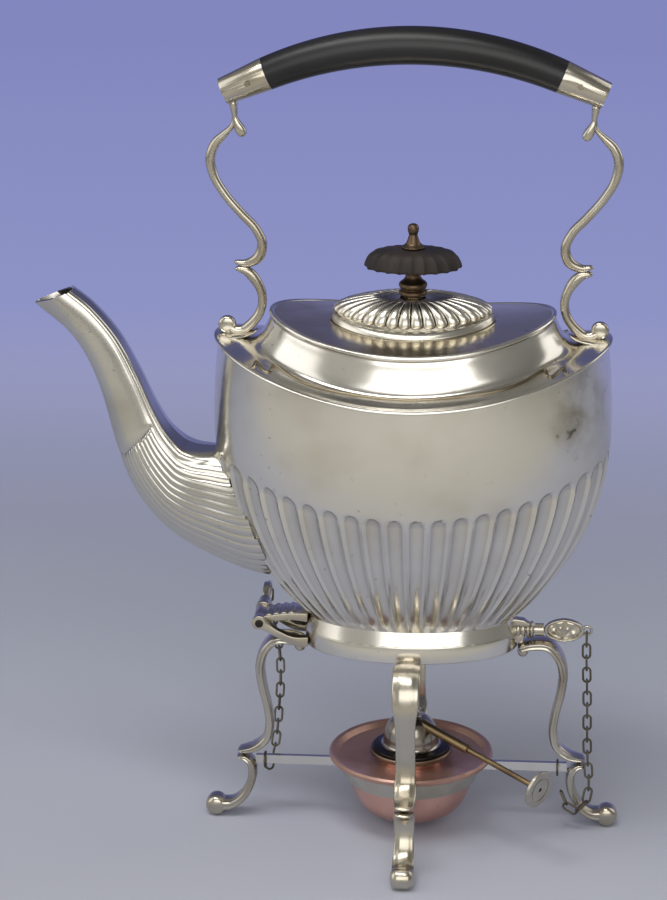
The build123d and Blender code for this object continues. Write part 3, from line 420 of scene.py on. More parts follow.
def throughPoints(knots, values, at):
    # smooth curve through the values, with its slope at each knot from that knot's neighbours
    knots, values = np.asarray(knots, float), np.asarray(values, float)
    slopes = np.gradient(values, knots)
    cell = np.clip(np.searchsorted(knots, at) - 1, 0, len(knots) - 2)
    span = knots[cell + 1] - knots[cell]
    t = np.clip((at - knots[cell]) / span, 0, 1)
    return ((1 + 2 * t) * (1 - t) ** 2 * values[cell] + t * (1 - t) ** 2 * span * slopes[cell]
            + t * t * (3 - 2 * t) * values[cell + 1] + t * t * (t - 1) * span * slopes[cell + 1])


def rimSag(x, radius=217.0):
    # height of the boat-shaped curve above its low point; the rim, the neck and the lid all follow it
    return radius - np.sqrt(radius ** 2 - np.minimum(np.abs(x), radius) ** 2)


def evenAngles(u, length, width):
    # angle on an ellipse at an even share u of its girth, from the front and anticlockwise from above
    steps = np.linspace(0, 2 * np.pi, 4001)
    run = np.concatenate([[0], np.cumsum(np.hypot(np.diff(length * np.sin(steps)),
                                                  np.diff(width * np.cos(steps))))])
    return np.interp(u * run[-1], run, steps)


print("kettle body")
bowlValues = {
    "length": 88.6, "width": 58.0, "collar": 102.0, "fullHeight": 136.0, "rim": 214.3, "wall": 1.4,
    "shape": [(0.0, 0.525, 0.43), (0.075, 0.635, 0.56), (0.165, 0.745, 0.69), (0.28, 0.852, 0.82),
              (0.425, 0.942, 0.925), (0.56, 0.987, 0.98), (0.69, 1.0, 1.0), (0.83, 0.992, 0.993),
              (1.0, 0.966, 0.97)],
    "girth": 438.7, "flutes": 46, "columnsPerFlute": 12, "rows": 72, "rowShares": (0, 0.35, 0.75, 0.8, 1),
    "rowsFromHead": (-8, 4.6, 8), "headHeight": 161.5, "depth": 1.7, "channel": 0.43, "rib": 0.35,
}


def bowlSize(z, s):
    shares = [row[0] for row in s["shape"]]
    at = (z - s["collar"]) / s["fullHeight"]
    return (s["length"] * throughPoints(shares, [row[1] for row in s["shape"]], at),
            s["width"] * throughPoints(shares, [row[2] for row in s["shape"]], at))


def flutedBowl(s):
    def place(u, v):
        angle = evenAngles(u, s["length"], s["width"])
        x = s["length"] * np.sin(angle)
        for again in range(4):
            lift = rimSag(x)
            head = s["headHeight"] + lift
            z = np.interp(v, s["rowShares"], [0, 1, 2, 3, 4])
            knots = np.stack([np.full_like(x, s["collar"]), *(head + away for away in s["rowsFromHead"]),
                              s["rim"] + lift])
            low = np.clip(z.astype(int), 0, 3)
            each = np.arange(len(x))
            z = knots[low, each] * (1 - (z - low)) + knots[low + 1, each] * (z - low)
            a, b = bowlSize(z, s)
            x = a * np.sin(angle)
        swell = (a + b) / (s["length"] + s["width"])
        pitch = s["girth"] / s["flutes"] * swell
        phase = np.mod(u * s["flutes"], 1.0)
        off = (phase - 0.5) * pitch
        radius = s["channel"] * pitch
        reach = np.hypot(off, np.maximum(z - head, 0) * 0.95)
        cut = s["depth"] * swell * np.sqrt(np.maximum(1 - (reach / radius) ** 2, 0)) ** 1.2
        crest = np.clip((np.abs(phase - 0.5) - s["channel"]) / (0.5 - s["channel"]), 0, 1)
        raised = s["rib"] * swell * np.sin(crest * np.pi / 2) * np.clip((head + 1 - z) / 4, 0, 1)
        # channels die away in the last few millimetres above the foot
        fade = np.clip((z - s["collar"]) / 3, 0, 1)
        shift = (raised - cut) * fade
        return (a + shift) * np.sin(angle), -(b + shift) * np.cos(angle), z

    return wrappedSheet("bowl", s["flutes"] * s["columnsPerFlute"], s["rows"], place)


def deleteWhere(piece, chosen):
    # takes out the vertices, in millimetres, that the test picks
    clearSelection()
    bpy.context.view_layer.objects.active = piece
    bpy.ops.object.mode_set(mode="EDIT")
    bpy.ops.mesh.select_all(action="DESELECT")
    bpy.ops.object.mode_set(mode="OBJECT")
    for vertex in piece.data.vertices:
        vertex.select = bool(chosen(vertex.co / mm))
    bpy.ops.object.mode_set(mode="EDIT")
    bpy.ops.mesh.delete(type="VERT")
    bpy.ops.object.mode_set(mode="OBJECT")


throatValues = {"height": 150.0, "tall": 25.0, "wide": 18.0}


def inThroat(point):
    # the hole in the bowl behind the spout's root
    s = throatValues
    return point.x < 0 and ((point.z - s["height"]) / s["tall"]) ** 2 + (point.y / s["wide"]) ** 2 < 1


print("spout")
spoutValues = {
    "wall": 1.3, "rootSunk": 1.9, "reeds": 38, "reedDepth": 0.85, "headFrom": 4.55, "headSlant": 0.4,
    "stationGap": 13.0,
    "stations": [(56.9, 163.5, 30.0, 22.0, 17), (70.0, 150.5, 30.0, 22.0, 17), (91.7, 155.8, 24.5, 18.0, -1),
                 (105.2, 162.6, 21.0, 14.5, -13), (116.0, 174.5, 17.0, 11.5, -28),
                 (123.0, 189.3, 13.3, 9.5, -40), (129.8, 209.3, 10.0, 8.0, -51),
                 (137.5, 226.3, 8.5, 7.0, -56), (147.0, 239.0, 7.8, 6.3, -54), (159.0, 249.2, 8.8, 5.6, -72)],
}


def hornPlace(s):
    def place(u, v):
        count = len(s["stations"]) - 1
        at = v * count
        keys = np.arange(count + 1)
        outward, height, tall, wide, lean = (
            throughPoints(keys, [row[i] for row in s["stations"]], at) for i in range(5))
        lean = np.radians(lean)
        # plain oval at the root; higher up a flat top facet with a narrow bead along each edge
        turn = 2 * np.pi * u
        shares = [0, 0.12, 0.22, 0.30, 0.38, 0.425, 0.437, 0.449, 0.461, 0.5]
        half = 0.5 - np.abs(u - 0.5)
        across = throughPoints(shares, [0, 0.62, 0.95, 1.0, 0.94, 0.86, 0.86, 0.80, 0.72, 0], half)
        up = throughPoints(shares, [-1, -0.80, -0.36, 0.08, 0.52, 0.70, 0.76, 0.80, 0.82, 0.90], half)
        across = np.where(u > 0.5, -across, across)
        shaped = np.clip((at - 1.2) / 2.0, 0, 1)
        across = (1 - shaped) * np.sin(turn) + shaped * across
        up = (1 - shaped) * -np.cos(turn) + shaped * up
        # the pouring lip is drawn to a point
        beak = np.clip(at - count + 1.2, 0, 1.2) / 1.2 * np.clip(-up, 0, 1) * 0.55
        across = across * (1 - beak)
        # reeds with narrow grooves between them, each with a rounded end
        pitch = np.pi * (wide + tall) / s["reeds"]
        off = (np.mod(u * s["reeds"] + 0.5, 1.0) - 0.5) * pitch
        past = np.maximum(at - s["headFrom"] - s["headSlant"] * (0.5 - half), 0) * s["stationGap"]
        reach = np.hypot(off, past) / (pitch / 2)
        groove = np.where(reach < 1, 1 - np.sqrt(np.maximum(1 - reach ** 2, 0)),
                          np.exp(-((reach - 1) * pitch / 2 / 1.2) ** 2))
        grow = -s["reedDepth"] * groove * np.clip((0.415 - half) * 25, 0, 1)
        x = -outward + np.sin(-lean) * (tall + grow) * up
        z = height + np.cos(lean) * (tall + grow) * up
        return x, (wide + grow) * across, z

    return place


def insideBowl(point):
    # deeper into the bowl than the spout's root goes
    a, b = bowlSize(np.array([point.z]), bowlValues)
    sunk = spoutValues["rootSunk"]
    return (point.x / (a[0] - sunk)) ** 2 + (point.y / (b[0] - sunk)) ** 2 < 1


spout = wrappedSheet("horn", 380, 130, hornPlace(spoutValues))
deleteWhere(spout, insideBowl)
applyModifier(spout, "SOLIDIFY", thickness=spoutValues["wall"] * mm, offset=-1)
finishPiece(spout, "spout").data.materials[0] = mottledMetal(
    "spoutSilver", (0.64, 0.625, 0.585), (0.42, 0.38, 0.31), 0.19, 0.5, 0.05, 0.7, 0.9)

kettleBody = flutedBowl(bowlValues)
deleteWhere(kettleBody, inThroat)
applyModifier(kettleBody, "SOLIDIFY", thickness=bowlValues["wall"] * mm, offset=-1)
finishPiece(kettleBody, "kettle_body", 55)
stainValues = {"centre": (0.076, -0.030, 0.211), "reach": 0.026, "colour": (0.30, 0.25, 0.14),
               "specks": (0.05, 0.04, 0.03), "strength": 1.3}


def stainedCopy(material, s):
    # the same plate with one brown cloud near the shoulder and dark specks inside it
    stained = material.copy()
    tree = stained.node_tree
    surface = tree.nodes["Principled BSDF"]
    below = surface.inputs["Base Color"].links[0].from_socket
    place = placeNode(tree)
    away = tree.nodes.new("ShaderNodeVectorMath")
    away.operation = "DISTANCE"
    away.inputs[1].default_value = s["centre"]
    tree.links.new(place, away.inputs[0])
    near = rangeNode(tree, away.outputs["Value"], s["reach"], 0.0)
    cloud = noiseNode(tree, place, 95, 5)
    for colour, low, high in ((s["colour"], 0.36, 0.80), (s["specks"], 0.66, 0.70)):
        share = tree.nodes.new("ShaderNodeMath")
        share.operation = "MULTIPLY"
        share.use_clamp = True
        tree.links.new(rangeNode(tree, cloud, low, high, 0.0, s["strength"]), share.inputs[0])
        tree.links.new(near, share.inputs[1])
        below = mixNode(tree, share.outputs[0], below, colour)
    tree.links.new(below, surface.inputs["Base Color"])
    return stained


kettleBody.data.materials[0] = stainedCopy(finishes["silver"], stainValues)


def ovalRings(rows):
    # upright ovals (half length, half width, height) joined in order, each bent to the boat-shaped curve
    def place(u, v):
        at = v * (len(rows) - 1)
        keys = np.arange(len(rows))
        a, b, height = (throughPoints(keys, [row[i] for row in rows], at) for i in range(3))
        turn = 2 * np.pi * u
        x = a * np.sin(turn)
        return x, -b * np.cos(turn), height + rimSag(x)

    return place


print("shoulder")
shoulderRows = [
    (86.0, 55.6, 214.4), (87.8, 57.5, 214.2), (88.1, 57.8, 214.7), (87.8, 57.5, 215.4), (86.6, 56.3, 215.9),
    (84.0, 54.8, 216.5), (80.0, 52.9, 217.5), (76.6, 51.3, 218.3), (73.8, 50.0, 218.9), (71.4, 48.9, 219.7),
    (69.3, 48.0, 221.1), (67.4, 47.0, 223.4), (65.8, 46.2, 226.3), (64.4, 45.5, 229.4), (63.4, 45.0, 232.2),
    (62.9, 44.6, 234.0), (63.3, 45.0, 234.7), (63.4, 45.1, 235.3), (63.0, 44.7, 236.0), (62.2, 43.9, 236.3),
    (61.3, 43.0, 236.0), (60.9, 42.6, 235.3), (60.8, 42.5, 234.2),
]
shoulder = wrappedSheet("shoulder", 256, 105, ovalRings(shoulderRows), wall=1.0)
finishPiece(shoulder, "shoulder_mount")

print("top plate and lid")
plateRows = [
    (60.9, 42.6, 234.2), (61.3, 43.0, 235.4), (61.0, 42.7, 236.0), (60.0, 41.8, 236.2), (56.0, 38.9, 236.6),
    (50.0, 34.9, 237.2), (44.0, 31.0, 237.7), (39.0, 27.6, 238.1), (36.8, 26.0, 238.1), (36.2, 25.3, 237.8),
    (30.0, 21.4, 237.6), (29.2, 20.7, 237.2), (29.2, 20.7, 235.0),
]
topPlate = wrappedSheet("topPlate", 192, 60, ovalRings(plateRows), wall=0.9)
finishPiece(topPlate, "top_plate").data.materials[0] = plateSilver
coverRows = [
    (27.6, 19.2, 235.3), (27.6, 19.2, 237.6), (28.6, 20.0, 238.0), (35.4, 24.8, 238.0), (36.1, 25.4, 238.15),
    (36.3, 25.5, 238.5), (36.2, 25.2, 239.0), (36.0, 24.4, 239.9), (35.8, 23.2, 240.7), (35.5, 22.1, 241.1),
    (33.6, 20.2, 241.2),
]
cover = wrappedSheet("cover", 160, 50, ovalRings(coverRows), wall=0.7)
finishPiece(cover, "lid_cover").data.materials[0] = softSilver
domeValues = {"length": 35.8, "width": 21.7, "edge": 241.3, "top": 252.4, "crown": 5.8, "lobes": 32,
              "swell": 1.6, "headTilt": 1.30}


def lobedDome(s):
    # convex lobes that start with a rounded end just above the edge and run together at the stem
    def place(u, v):
        tilt = (1 - v) * np.pi / 2
        out, share = np.sin(tilt) ** (2 / 2.4), np.cos(tilt)
        angle = evenAngles(u, s["length"], s["width"])
        a = s["crown"] + (s["length"] - s["swell"] - s["crown"]) * out
        b = s["crown"] + (s["width"] - s["swell"] - s["crown"]) * out
        phase = np.abs(np.mod(u * s["lobes"], 1.0) - 0.5) * 2
        pitch = np.pi * (a + b) / s["lobes"]
        past = np.maximum(tilt - s["headTilt"], 0) * (s["top"] - s["edge"])
        reach = np.hypot(phase * pitch / 2, past) / (pitch / 2)
        bulge = s["swell"] * np.sqrt(np.maximum(1 - reach ** 2, 0)) * np.clip(out * 2.5, 0, 1)
        x = (a + bulge * out ** 2) * np.sin(angle)
        y = -(b + bulge * out ** 2) * np.cos(angle)
        arch = s["edge"] + (s["top"] - s["edge"] - s["swell"]) * share + bulge * np.sqrt(1 - out ** 4 * 0.999)
        return x, y, arch + rimSag(x) * out ** 3

    return wrappedSheet("dome", s["lobes"] * 14, 60, place, wall=0.6)


finishPiece(lobedDome(domeValues), "lid_dome", 60).data.materials[0] = softSilver

print("knob")
knobValues = {
    "length": 21.5, "width": 14.4, "flutes": 20, "depth": 1.3,
    "profile": [(0.12, 265.2), (0.50, 265.0), (0.84, 264.6), (0.95, 264.4), (1.0, 265.1), (0.99, 266.4),
                (0.955, 268.3), (0.90, 270.1), (0.80, 271.6), (0.62, 272.5), (0.34, 272.9), (0.12, 273.0)],
}


def flutedKnob(s):
    # scalloped wooden button: concave flutes down its side that fade towards the middle of its top
    def place(u, v):
        at = v * (len(s["profile"]) - 1)
        keys = np.arange(len(s["profile"]))
        share = throughPoints(keys, [row[0] for row in s["profile"]], at)
        z = throughPoints(keys, [row[1] for row in s["profile"]], at)
        angle = evenAngles(u, s["length"], s["width"])
        phase = np.mod(u * s["flutes"], 1.0) - 0.5
        cut = (s["depth"] * (np.sqrt(np.maximum(1 - (2 * phase) ** 2, 0)) - 0.35)
               * np.clip((share - 0.35) / 0.5, 0, 1))
        a, b = s["length"] * share, s["width"] * share
        drop = (0.8 * (np.abs(phase) * 2) ** 2 * np.clip((share - 0.8) * 5, 0, 1)
                * np.clip((265 - z) / 3, 0, 1))
        return ((a - np.maximum(cut, 0)) * np.sin(angle), -(b - np.maximum(cut, 0)) * np.cos(angle), z - drop)

    knob = wrappedSheet("button", s["flutes"] * 12, 60, place)
    capRims(knob)
    return knob


finishPiece(flutedKnob(knobValues), "knob", 50)


def turnedPiece(name, profile, columns=64, lying=None, rows=70):
    # (radius, height) pairs turned about the upright axis, or about a lying one along X through (y, z)
    def place(u, v):
        at = v * (len(profile) - 1)
        keys = np.arange(len(profile))
        r, run = (np.interp(at, keys, [row[i] for row in profile]) for i in range(2))
        if lying:
            return run, lying[0] + r * np.sin(2 * np.pi * u), lying[1] + r * np.cos(2 * np.pi * u)
        return r * np.sin(2 * np.pi * u), -r * np.cos(2 * np.pi * u), run

    piece = wrappedSheet(name, columns, rows, place)
    capRims(piece)
    return piece


def curved(knots, count=40):
    # the pairs joined by one smooth curve
    at = np.linspace(0, len(knots) - 1, count)
    return list(zip(*(throughPoints(np.arange(len(knots)), [row[i] for row in knots], at) for i in range(2))))


stemProfile = curved([(6.2, 252.6), (6.35, 253.4), (5.9, 254.2), (5.2, 254.8), (5.9, 255.5), (6.3, 256.6),
                      (5.9, 257.7), (4.4, 258.9), (3.5, 260.2), (3.5, 261.4), (4.2, 262.4)])
finialProfile = curved([(5.0, 273.3), (5.1, 273.9), (4.4, 274.4), (3.3, 275.3), (2.6, 276.8), (2.1, 278.4),
                        (1.9, 279.4), (2.3, 280.4), (2.5, 281.8), (2.2, 283.2), (1.2, 284.0), (0.1, 284.2)])
for node, profile in (("knob_stem", stemProfile), ("knob_finial", finialProfile)):
    finishPiece(turnedPiece(node, profile), node, 60).data.materials[0] = darkBronze

print("rounded straps and castings")


def roundedCopy(node, width, flat=2.0, angle=35):
    # the node's own shape with its sharp edges rolled over
    clearSelection()
    source = frame["nodes"][node]
    copy = source.copy()
    copy.data = source.data.copy()
    copy.parent = None
    copy.matrix_world = source.matrix_world.copy()
    bpy.context.scene.collection.objects.link(copy)
    clearSelection()
    copy.select_set(True)
    bpy.context.view_layer.objects.active = copy
    bpy.ops.object.transform_apply(location=True, rotation=True, scale=True)
    if copy.data.has_custom_normals:
        bpy.ops.mesh.customdata_custom_splitnormals_clear()
    mergeAndFaceOut(copy, 2e-6)
    bpy.ops.object.mode_set(mode="EDIT")
    bpy.ops.mesh.select_all(action="SELECT")
    bpy.ops.mesh.dissolve_limited(angle_limit=math.radians(flat))
    bpy.ops.object.mode_set(mode="OBJECT")
    applyModifier(copy, "BEVEL", width=width * mm, segments=2, limit_method="ANGLE",
                  angle_limit=math.radians(angle), use_clamp_overlap=True)
    return finishPiece(copy, node)


for side in ("left", "right"):
    roundedCopy("ferrule_" + side, 0.35)
roundedCopy("stand_ring", 0.5, flat=0.5, angle=50)

print("raised line on the ledge")
ledgeLine = {
    "radius": 0.75, "middle": (0.0, -50.2),
    "half": [(22.8, -47.8), (39.7, -43.8), (49.7, -38.0), (58.1, -29.6), (59.9, -34.6), (61.8, -35.4),
             (65.6, -30.2), (66.8, -28.2), (67.4, -32.4), (68.2, -35.0)],
}


def ledgeHeight(x, y):
    # height of the sloping ledge above the boat-shaped curve, from the ovals that it runs through
    ovals = np.array(shoulderRows[4:12])
    sizes = (x[:, None] / ovals[:, 0]) ** 2 + (y[:, None] / ovals[:, 1]) ** 2
    return np.array([np.interp(1.0, row, ovals[:, 2]) for row in sizes])


def ledgeMoulding(s, mirror):
    course = [(-x, y) for x, y in reversed(s["half"])] + [s["middle"]] + s["half"]

    def place(u, v):
        at = v * (len(course) - 1)
        keys = np.arange(len(course))

        def spot(where):
            x = throughPoints(keys, [row[0] for row in course], where)
            y = throughPoints(keys, [row[1] for row in course], where) * mirror
            return x, y, ledgeHeight(x, y) + rimSag(x)

        x, y, z = spot(at)
        ahead, behind = spot(np.minimum(at + 0.02, keys[-1])), spot(np.maximum(at - 0.02, 0))
        run, cross = ahead[0] - behind[0], ahead[1] - behind[1]
        length = np.maximum(np.hypot(run, cross), 1e-6)
        size = s["radius"] * np.clip(np.minimum(v, 1 - v) * 60, 0.15, 1)
        turn = 2 * np.pi * u
        return (x - cross / length * size * np.cos(turn), y + run / length * size * np.cos(turn),
                z + size * np.sin(turn))

    line = wrappedSheet("line", 12, 320, place)
    capRims(line)
    return line


moulding = ledgeMoulding(ledgeLine, 1)
behindLine = ledgeMoulding(ledgeLine, -1)
clearSelection()
behindLine.select_set(True)
moulding.select_set(True)
bpy.context.view_layer.objects.active = moulding
bpy.ops.object.join()
bpy.ops.object.shade_smooth()
moulding.name = "ledgeLine"
# the line's dark finish is painted shade
moulding.data.materials.append(lineShadeMetal)
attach(moulding, "kettle")

print("handle uprights and legs")


def sweptBar(name, course, side, widths, thicks, ends=2.0, groove=0.0, edgeBead=0.0, rows=150,
             squareness=(0.7, 0.75)):
    # moulded bar along a course that lies in one plane; side is the direction out of that plane
    course = np.array(course, float)
    steps = np.concatenate([[0], np.cumsum(np.linalg.norm(np.diff(course, axis=0), axis=1))])
    side = np.array(side, float)

    def spot(run):
        return np.stack([throughPoints(steps, course[:, i], run) for i in range(3)], axis=1)

    def place(u, v):
        run = v * steps[-1]
        here = spot(run)
        way = spot(np.minimum(run + 0.1, steps[-1])) - spot(np.maximum(run - 0.1, 0))
        out = np.cross(way, side)
        out /= np.linalg.norm(out, axis=1)[:, None]
        turn = 2 * np.pi * u
        c, s = np.cos(turn), np.sin(turn)
        across = np.sign(c) * np.abs(c) ** squareness[0]
        rise = np.sign(s) * np.abs(s) ** squareness[1]
        across, rise = (across * (1 - groove * np.exp(-(rise / 0.32) ** 2)),
                        rise * (1 - edgeBead * np.exp(-((np.abs(across) - 0.68) / 0.1) ** 2)))
        near = np.clip(np.minimum(run, steps[-1] - run) / ends, 0, 1)
        closing = np.maximum(np.sqrt(1 - (1 - near) ** 2), 0.05)
        wide = throughPoints(np.linspace(0, 1, len(widths)), widths, v) / 2 * closing
        thick = throughPoints(np.linspace(0, 1, len(thicks)), thicks, v) / 2 * closing
        points = here + side * (across * wide)[:, None] + out * (rise * thick)[:, None]
        return points[:, 0], points[:, 1], points[:, 2]

    bar = wrappedSheet(name, 32, rows, place)
    capRims(bar)
    return bar


def joined(name, pieces):
    clearSelection()
    for piece in pieces:
        piece.select_set(True)
    bpy.context.view_layer.objects.active = pieces[0]
    bpy.ops.object.join()
    pieces[0].name = name
    return pieces[0]


def ballRoll(name, centre, side, radius, width, low=None):
    # rolled end of a strap: a short drum with rounded edges across the strap
    side = np.array(side, float)
    flat = np.cross(side, (0, 0, 1.0))

    def place(u, v):
        along = 2 * v - 1
        size = radius * np.maximum(1 - np.abs(along) ** 3.5, 0) ** (1 / 2.5)
        turn = 2 * np.pi * u
        points = (np.array(centre) + side * (along * width / 2)[:, None]
                  + flat * (size * np.cos(turn))[:, None]
                  + np.array((0, 0, 1.0)) * (size * np.sin(turn))[:, None])
        return points[:, 0], points[:, 1], points[:, 2] if low is None else np.maximum(points[:, 2], low)

    roll = wrappedSheet(name, 32, 24, place)
    capRims(roll)
    return roll


shoeValues = {
    "course": [(86.6, 231.2), (82.5, 232.0), (78.0, 232.4), (73.8, 232.9), (70.6, 234.0), (68.6, 235.4)],
    "widths": [12.5, 14.5, 13.5, 11.0, 8.0, 5.0], "thicks": [3.0, 3.2, 2.8, 2.4, 2.0, 1.4],
}
for side, mirror in (("right", 1), ("left", -1)):
    shoe = sweptBar("shoe", [(mirror * x, 0, z) for x, z in shoeValues["course"]], (0, 1, 0),
                    shoeValues["widths"], shoeValues["thicks"], ends=5.0, rows=80, squareness=(1.0, 1.0))
    finishPiece(shoe, "handle_shoe_" + side, 60)

uprightValues = {
    "foot": (77.4, 233.6), "head": (77.9, 336.6),
    "low": [(4.6, 0.026), (1.8, 0.008), (-1.6, 0.008), (-5.4, 0.035), (-9.9, 0.095), (-10.9, 0.158),
            (-8.1, 0.231), (-4.0, 0.272), (1.2, 0.283)],
    "high": [(1.4, 0.312), (-4.2, 0.306), (-9.0, 0.329), (-11.2, 0.392), (-8.6, 0.455), (-2.3, 0.523),
             (4.8, 0.606), (9.8, 0.694), (10.9, 0.767), (8.7, 0.825), (4.4, 0.868), (0.9, 0.905),
             (-0.1, 0.945), (0.3, 0.985), (0.6, 1.015)],
    "heel": [(0.1, 0.95), (-1.2, 0.912), (-3.0, 0.878), (-4.4, 0.86)],
}


def handleUpright(s, mirror):
    def on(sideways, share):
        x = s["foot"][0] + share * (s["head"][0] - s["foot"][0]) + sideways
        return mirror * x, 0, s["foot"][1] + share * (s["head"][1] - s["foot"][1])

    parts = [
        sweptBar("low", [on(*p) for p in s["low"]], (0, 1, 0), [4.8, 4.8, 4.6, 4.4, 4.4, 4.6, 3.0],
                 [5.4, 4.6, 4.2, 4.0, 4.2, 4.8, 2.0], squareness=(1.0, 1.0)),
        sweptBar("high", [on(*p) for p in s["high"]], (0, 1, 0),
                 [3.0, 4.6, 4.6, 4.4, 4.4, 4.4, 4.4, 4.2, 3.2, 4.4],
                 [2.0, 4.6, 4.2, 4.0, 4.0, 4.0, 4.4, 4.0, 2.2, 4.2], rows=260, squareness=(1.0, 1.0)),
        sweptBar("heel", [on(*p) for p in s["heel"]], (0, 1, 0), [3.0, 4.2, 4.6, 4.0], [1.6, 3.2, 4.6, 3.6],
                 ends=1.6),
        ballRoll("ball", on(4.9, 0.034), (0, 1, 0), 4.0, 4.9),
    ]
    return joined("upright", parts)


finishPiece(handleUpright(uprightValues, 1), "handle_upright_right", 60)
finishPiece(handleUpright(uprightValues, -1), "handle_upright_left", 60)

legValues = {
    "ringLength": 48.3, "ringWidth": 28.0, "sideReach": 90.6, "frontReach": 74.0, "height": 96.0,
    "ball": 4.95,
    "upper": [(0.0, 0.905), (0.16, 0.925), (0.325, 0.922), (0.44, 0.872), (0.496, 0.79), (0.48, 0.687),
              (0.423, 0.573), (0.40, 0.479), (0.442, 0.406), (0.572, 0.357), (0.76, 0.338)],
    "lower": [(0.77, 0.306), (0.68, 0.305), (0.612, 0.275), (0.596, 0.225), (0.622, 0.165), (0.70, 0.102),
              (0.84, 0.058), (0.97, 0.055)],
    "root": (0.06, 0.892), "rootRadius": 2.6,
}


def straightLeg(s, along, side, ringFace, reach):
    along = np.array(along, float)

    def on(share, height):
        flat = along * (ringFace + share * (reach - ringFace))
        return flat[0], flat[1], height * s["height"]

    parts = [
        sweptBar("upper", [on(*p) for p in s["upper"]], side,
                 [12.4, 13.4, 13.4, 12.8, 10.0, 9.4, 9.4, 10.0, 10.8, 8.0],
                 [4.0, 4.6, 4.6, 4.4, 4.2, 4.0, 4.0, 4.2, 4.0, 1.6], groove=0.14, edgeBead=0.16, rows=220),
        sweptBar("lower", [on(*p) for p in s["lower"]], side, [8.0, 10.2, 9.6, 9.4, 10.0, 10.6, 10.8],
                 [1.6, 4.0, 4.2, 4.0, 4.2, 5.0, 6.0], groove=0.14, edgeBead=0.16, rows=150),
        ballRoll("root", on(*s["root"]), side, s["rootRadius"], 9.0),
        ballRoll("foot", on(1.0, s["ball"] / s["height"]), side, s["ball"], 11.0, low=0.0),
    ]
    return joined("leg", parts)


for node, along, side, ringFace, reach in (
        ("leg_right", (1, 0, 0), (0, 1, 0), "ringLength", "sideReach"),
        ("leg_left", (-1, 0, 0), (0, 1, 0), "ringLength", "sideReach"),
        ("leg_front", (0, -1, 0), (1, 0, 0), "ringWidth", "frontReach"),
        ("leg_back", (0, 1, 0), (1, 0, 0), "ringWidth", "frontReach")):
    finishPiece(straightLeg(legValues, along, side, legValues[ringFace], legValues[reach]), node, 60)

print("burner hood")
hoodValues = {
    "seams": 4, "seamDepth": 0.35, "sootyBelow": 38.2,
    "profile": [(16.0, 36.3), (17.5, 36.4), (17.7, 37.0), (17.2, 37.6), (14.4, 38.0), (13.0, 38.8),
                (12.55, 40.5), (12.3, 43.0), (11.5, 46.2), (9.8, 49.2), (7.4, 51.3), (5.4, 52.2), (5.0, 52.8),
                (5.0, 54.2), (4.3, 54.8), (3.85, 56.0), (3.85, 58.6), (3.3, 58.9)],
}


def turnedHood(s):
    def place(u, v):
        at = v * (len(s["profile"]) - 1)
        keys = np.arange(len(s["profile"]))
        r = throughPoints(keys, [row[0] for row in s["profile"]], at)
        z = throughPoints(keys, [row[1] for row in s["profile"]], at)
        phase = np.abs(np.mod(u * s["seams"] + 0.43, 1.0) - 0.5) * 2 * np.pi * r / s["seams"]
        r = r - s["seamDepth"] * np.exp(-(phase / 0.35) ** 2) * ((z > 38.5) & (z < 51.5))
        return r * np.sin(2 * np.pi * u), -r * np.cos(2 * np.pi * u), z

    return wrappedSheet("hood", 288, 90, place, wall=0.5)


burnerHood = finishPiece(turnedHood(hoodValues), "burner_hood", 50)
# the hood's nickel is darker than the other nickel: painted shade
burnerHood.data.materials[0] = mottledMetal(
    "shadeDarkenedNickel", (0.42, 0.39, 0.34), (0.10, 0.08, 0.06), 0.20, 0.9, 0.05, 0.7)
burnerHood.data.materials.append(sootAndShadeMetal)
for face in burnerHood.data.polygons:
    face.material_index = int(face.center.z < hoodValues["sootyBelow"] * mm)

print("shells")
shellValues = {"halfLength": 9.3, "halfWidth": 5.5, "thick": 1.55, "ribs": 9, "border": 0.80,
               "lockPlace": (69.4, 0, 95.6), "hingePlace": (-68.6, 27.1, 99.5)}


def shellPlate(s, origin, along, upward, facing):
    # leaf-shaped plate with a raised border and a fan of lobes, the same on both faces
    along, upward, facing = (np.array(v, float) for v in (along, upward, facing))

    def face(sign):
        def place(u, v):
            turn = 2 * np.pi * u
            share = 1 - v
            lens = np.abs(np.cos(turn)) ** 1.15 * np.sign(np.cos(turn))
            x, z = s["halfLength"] * share * lens, s["halfWidth"] * share * np.sin(turn)
            border = np.clip(1 - np.abs((share - 0.9) / 0.11) ** 2, 0, 1) ** 0.5
            fanX, fanZ = x + s["halfLength"] * 0.1, z + s["halfWidth"] * 0.62
            bearing = np.arctan2(fanZ, fanX)
            rib = np.abs(np.sin(bearing * s["ribs"] / 2)) ** 1.5
            reach = np.hypot(fanX, fanZ * 1.3)
            inside = np.clip((s["border"] - share) / 0.12, 0, 1)
            knobs = np.exp(-((reach - 5.6) / 1.0) ** 2)
            lift = s["thick"] * (0.38 + 0.62 * border * (share > 0.7)
                                 + inside * (0.42 * rib * (0.55 + 0.5 * knobs)))
            lift = np.where(v == 0, 0, lift)
            points = (np.array(origin) + along * x[:, None] + upward * z[:, None]
                      + facing * (sign * lift)[:, None])
            return points[:, 0], points[:, 1], points[:, 2]

        return wrappedSheet("face", 160, 48, place)

    def ringPlace(u, v):
        a, b = 2 * np.pi * u, 2 * np.pi * v
        r = 2.0 + 0.6 * np.cos(b)
        points = (np.array(origin) + along * (s["halfLength"] + 1.1 + r * np.cos(a))[:, None]
                  + upward * (r * np.sin(a))[:, None] + facing * (0.6 * np.sin(b))[:, None])
        return points[:, 0], points[:, 1], points[:, 2]

    plate = joined("shell", [face(1), face(-1), wrappedSheet("ring", 40, 16, ringPlace)])
    mergeAndFaceOut(plate, 2e-6)
    return plate


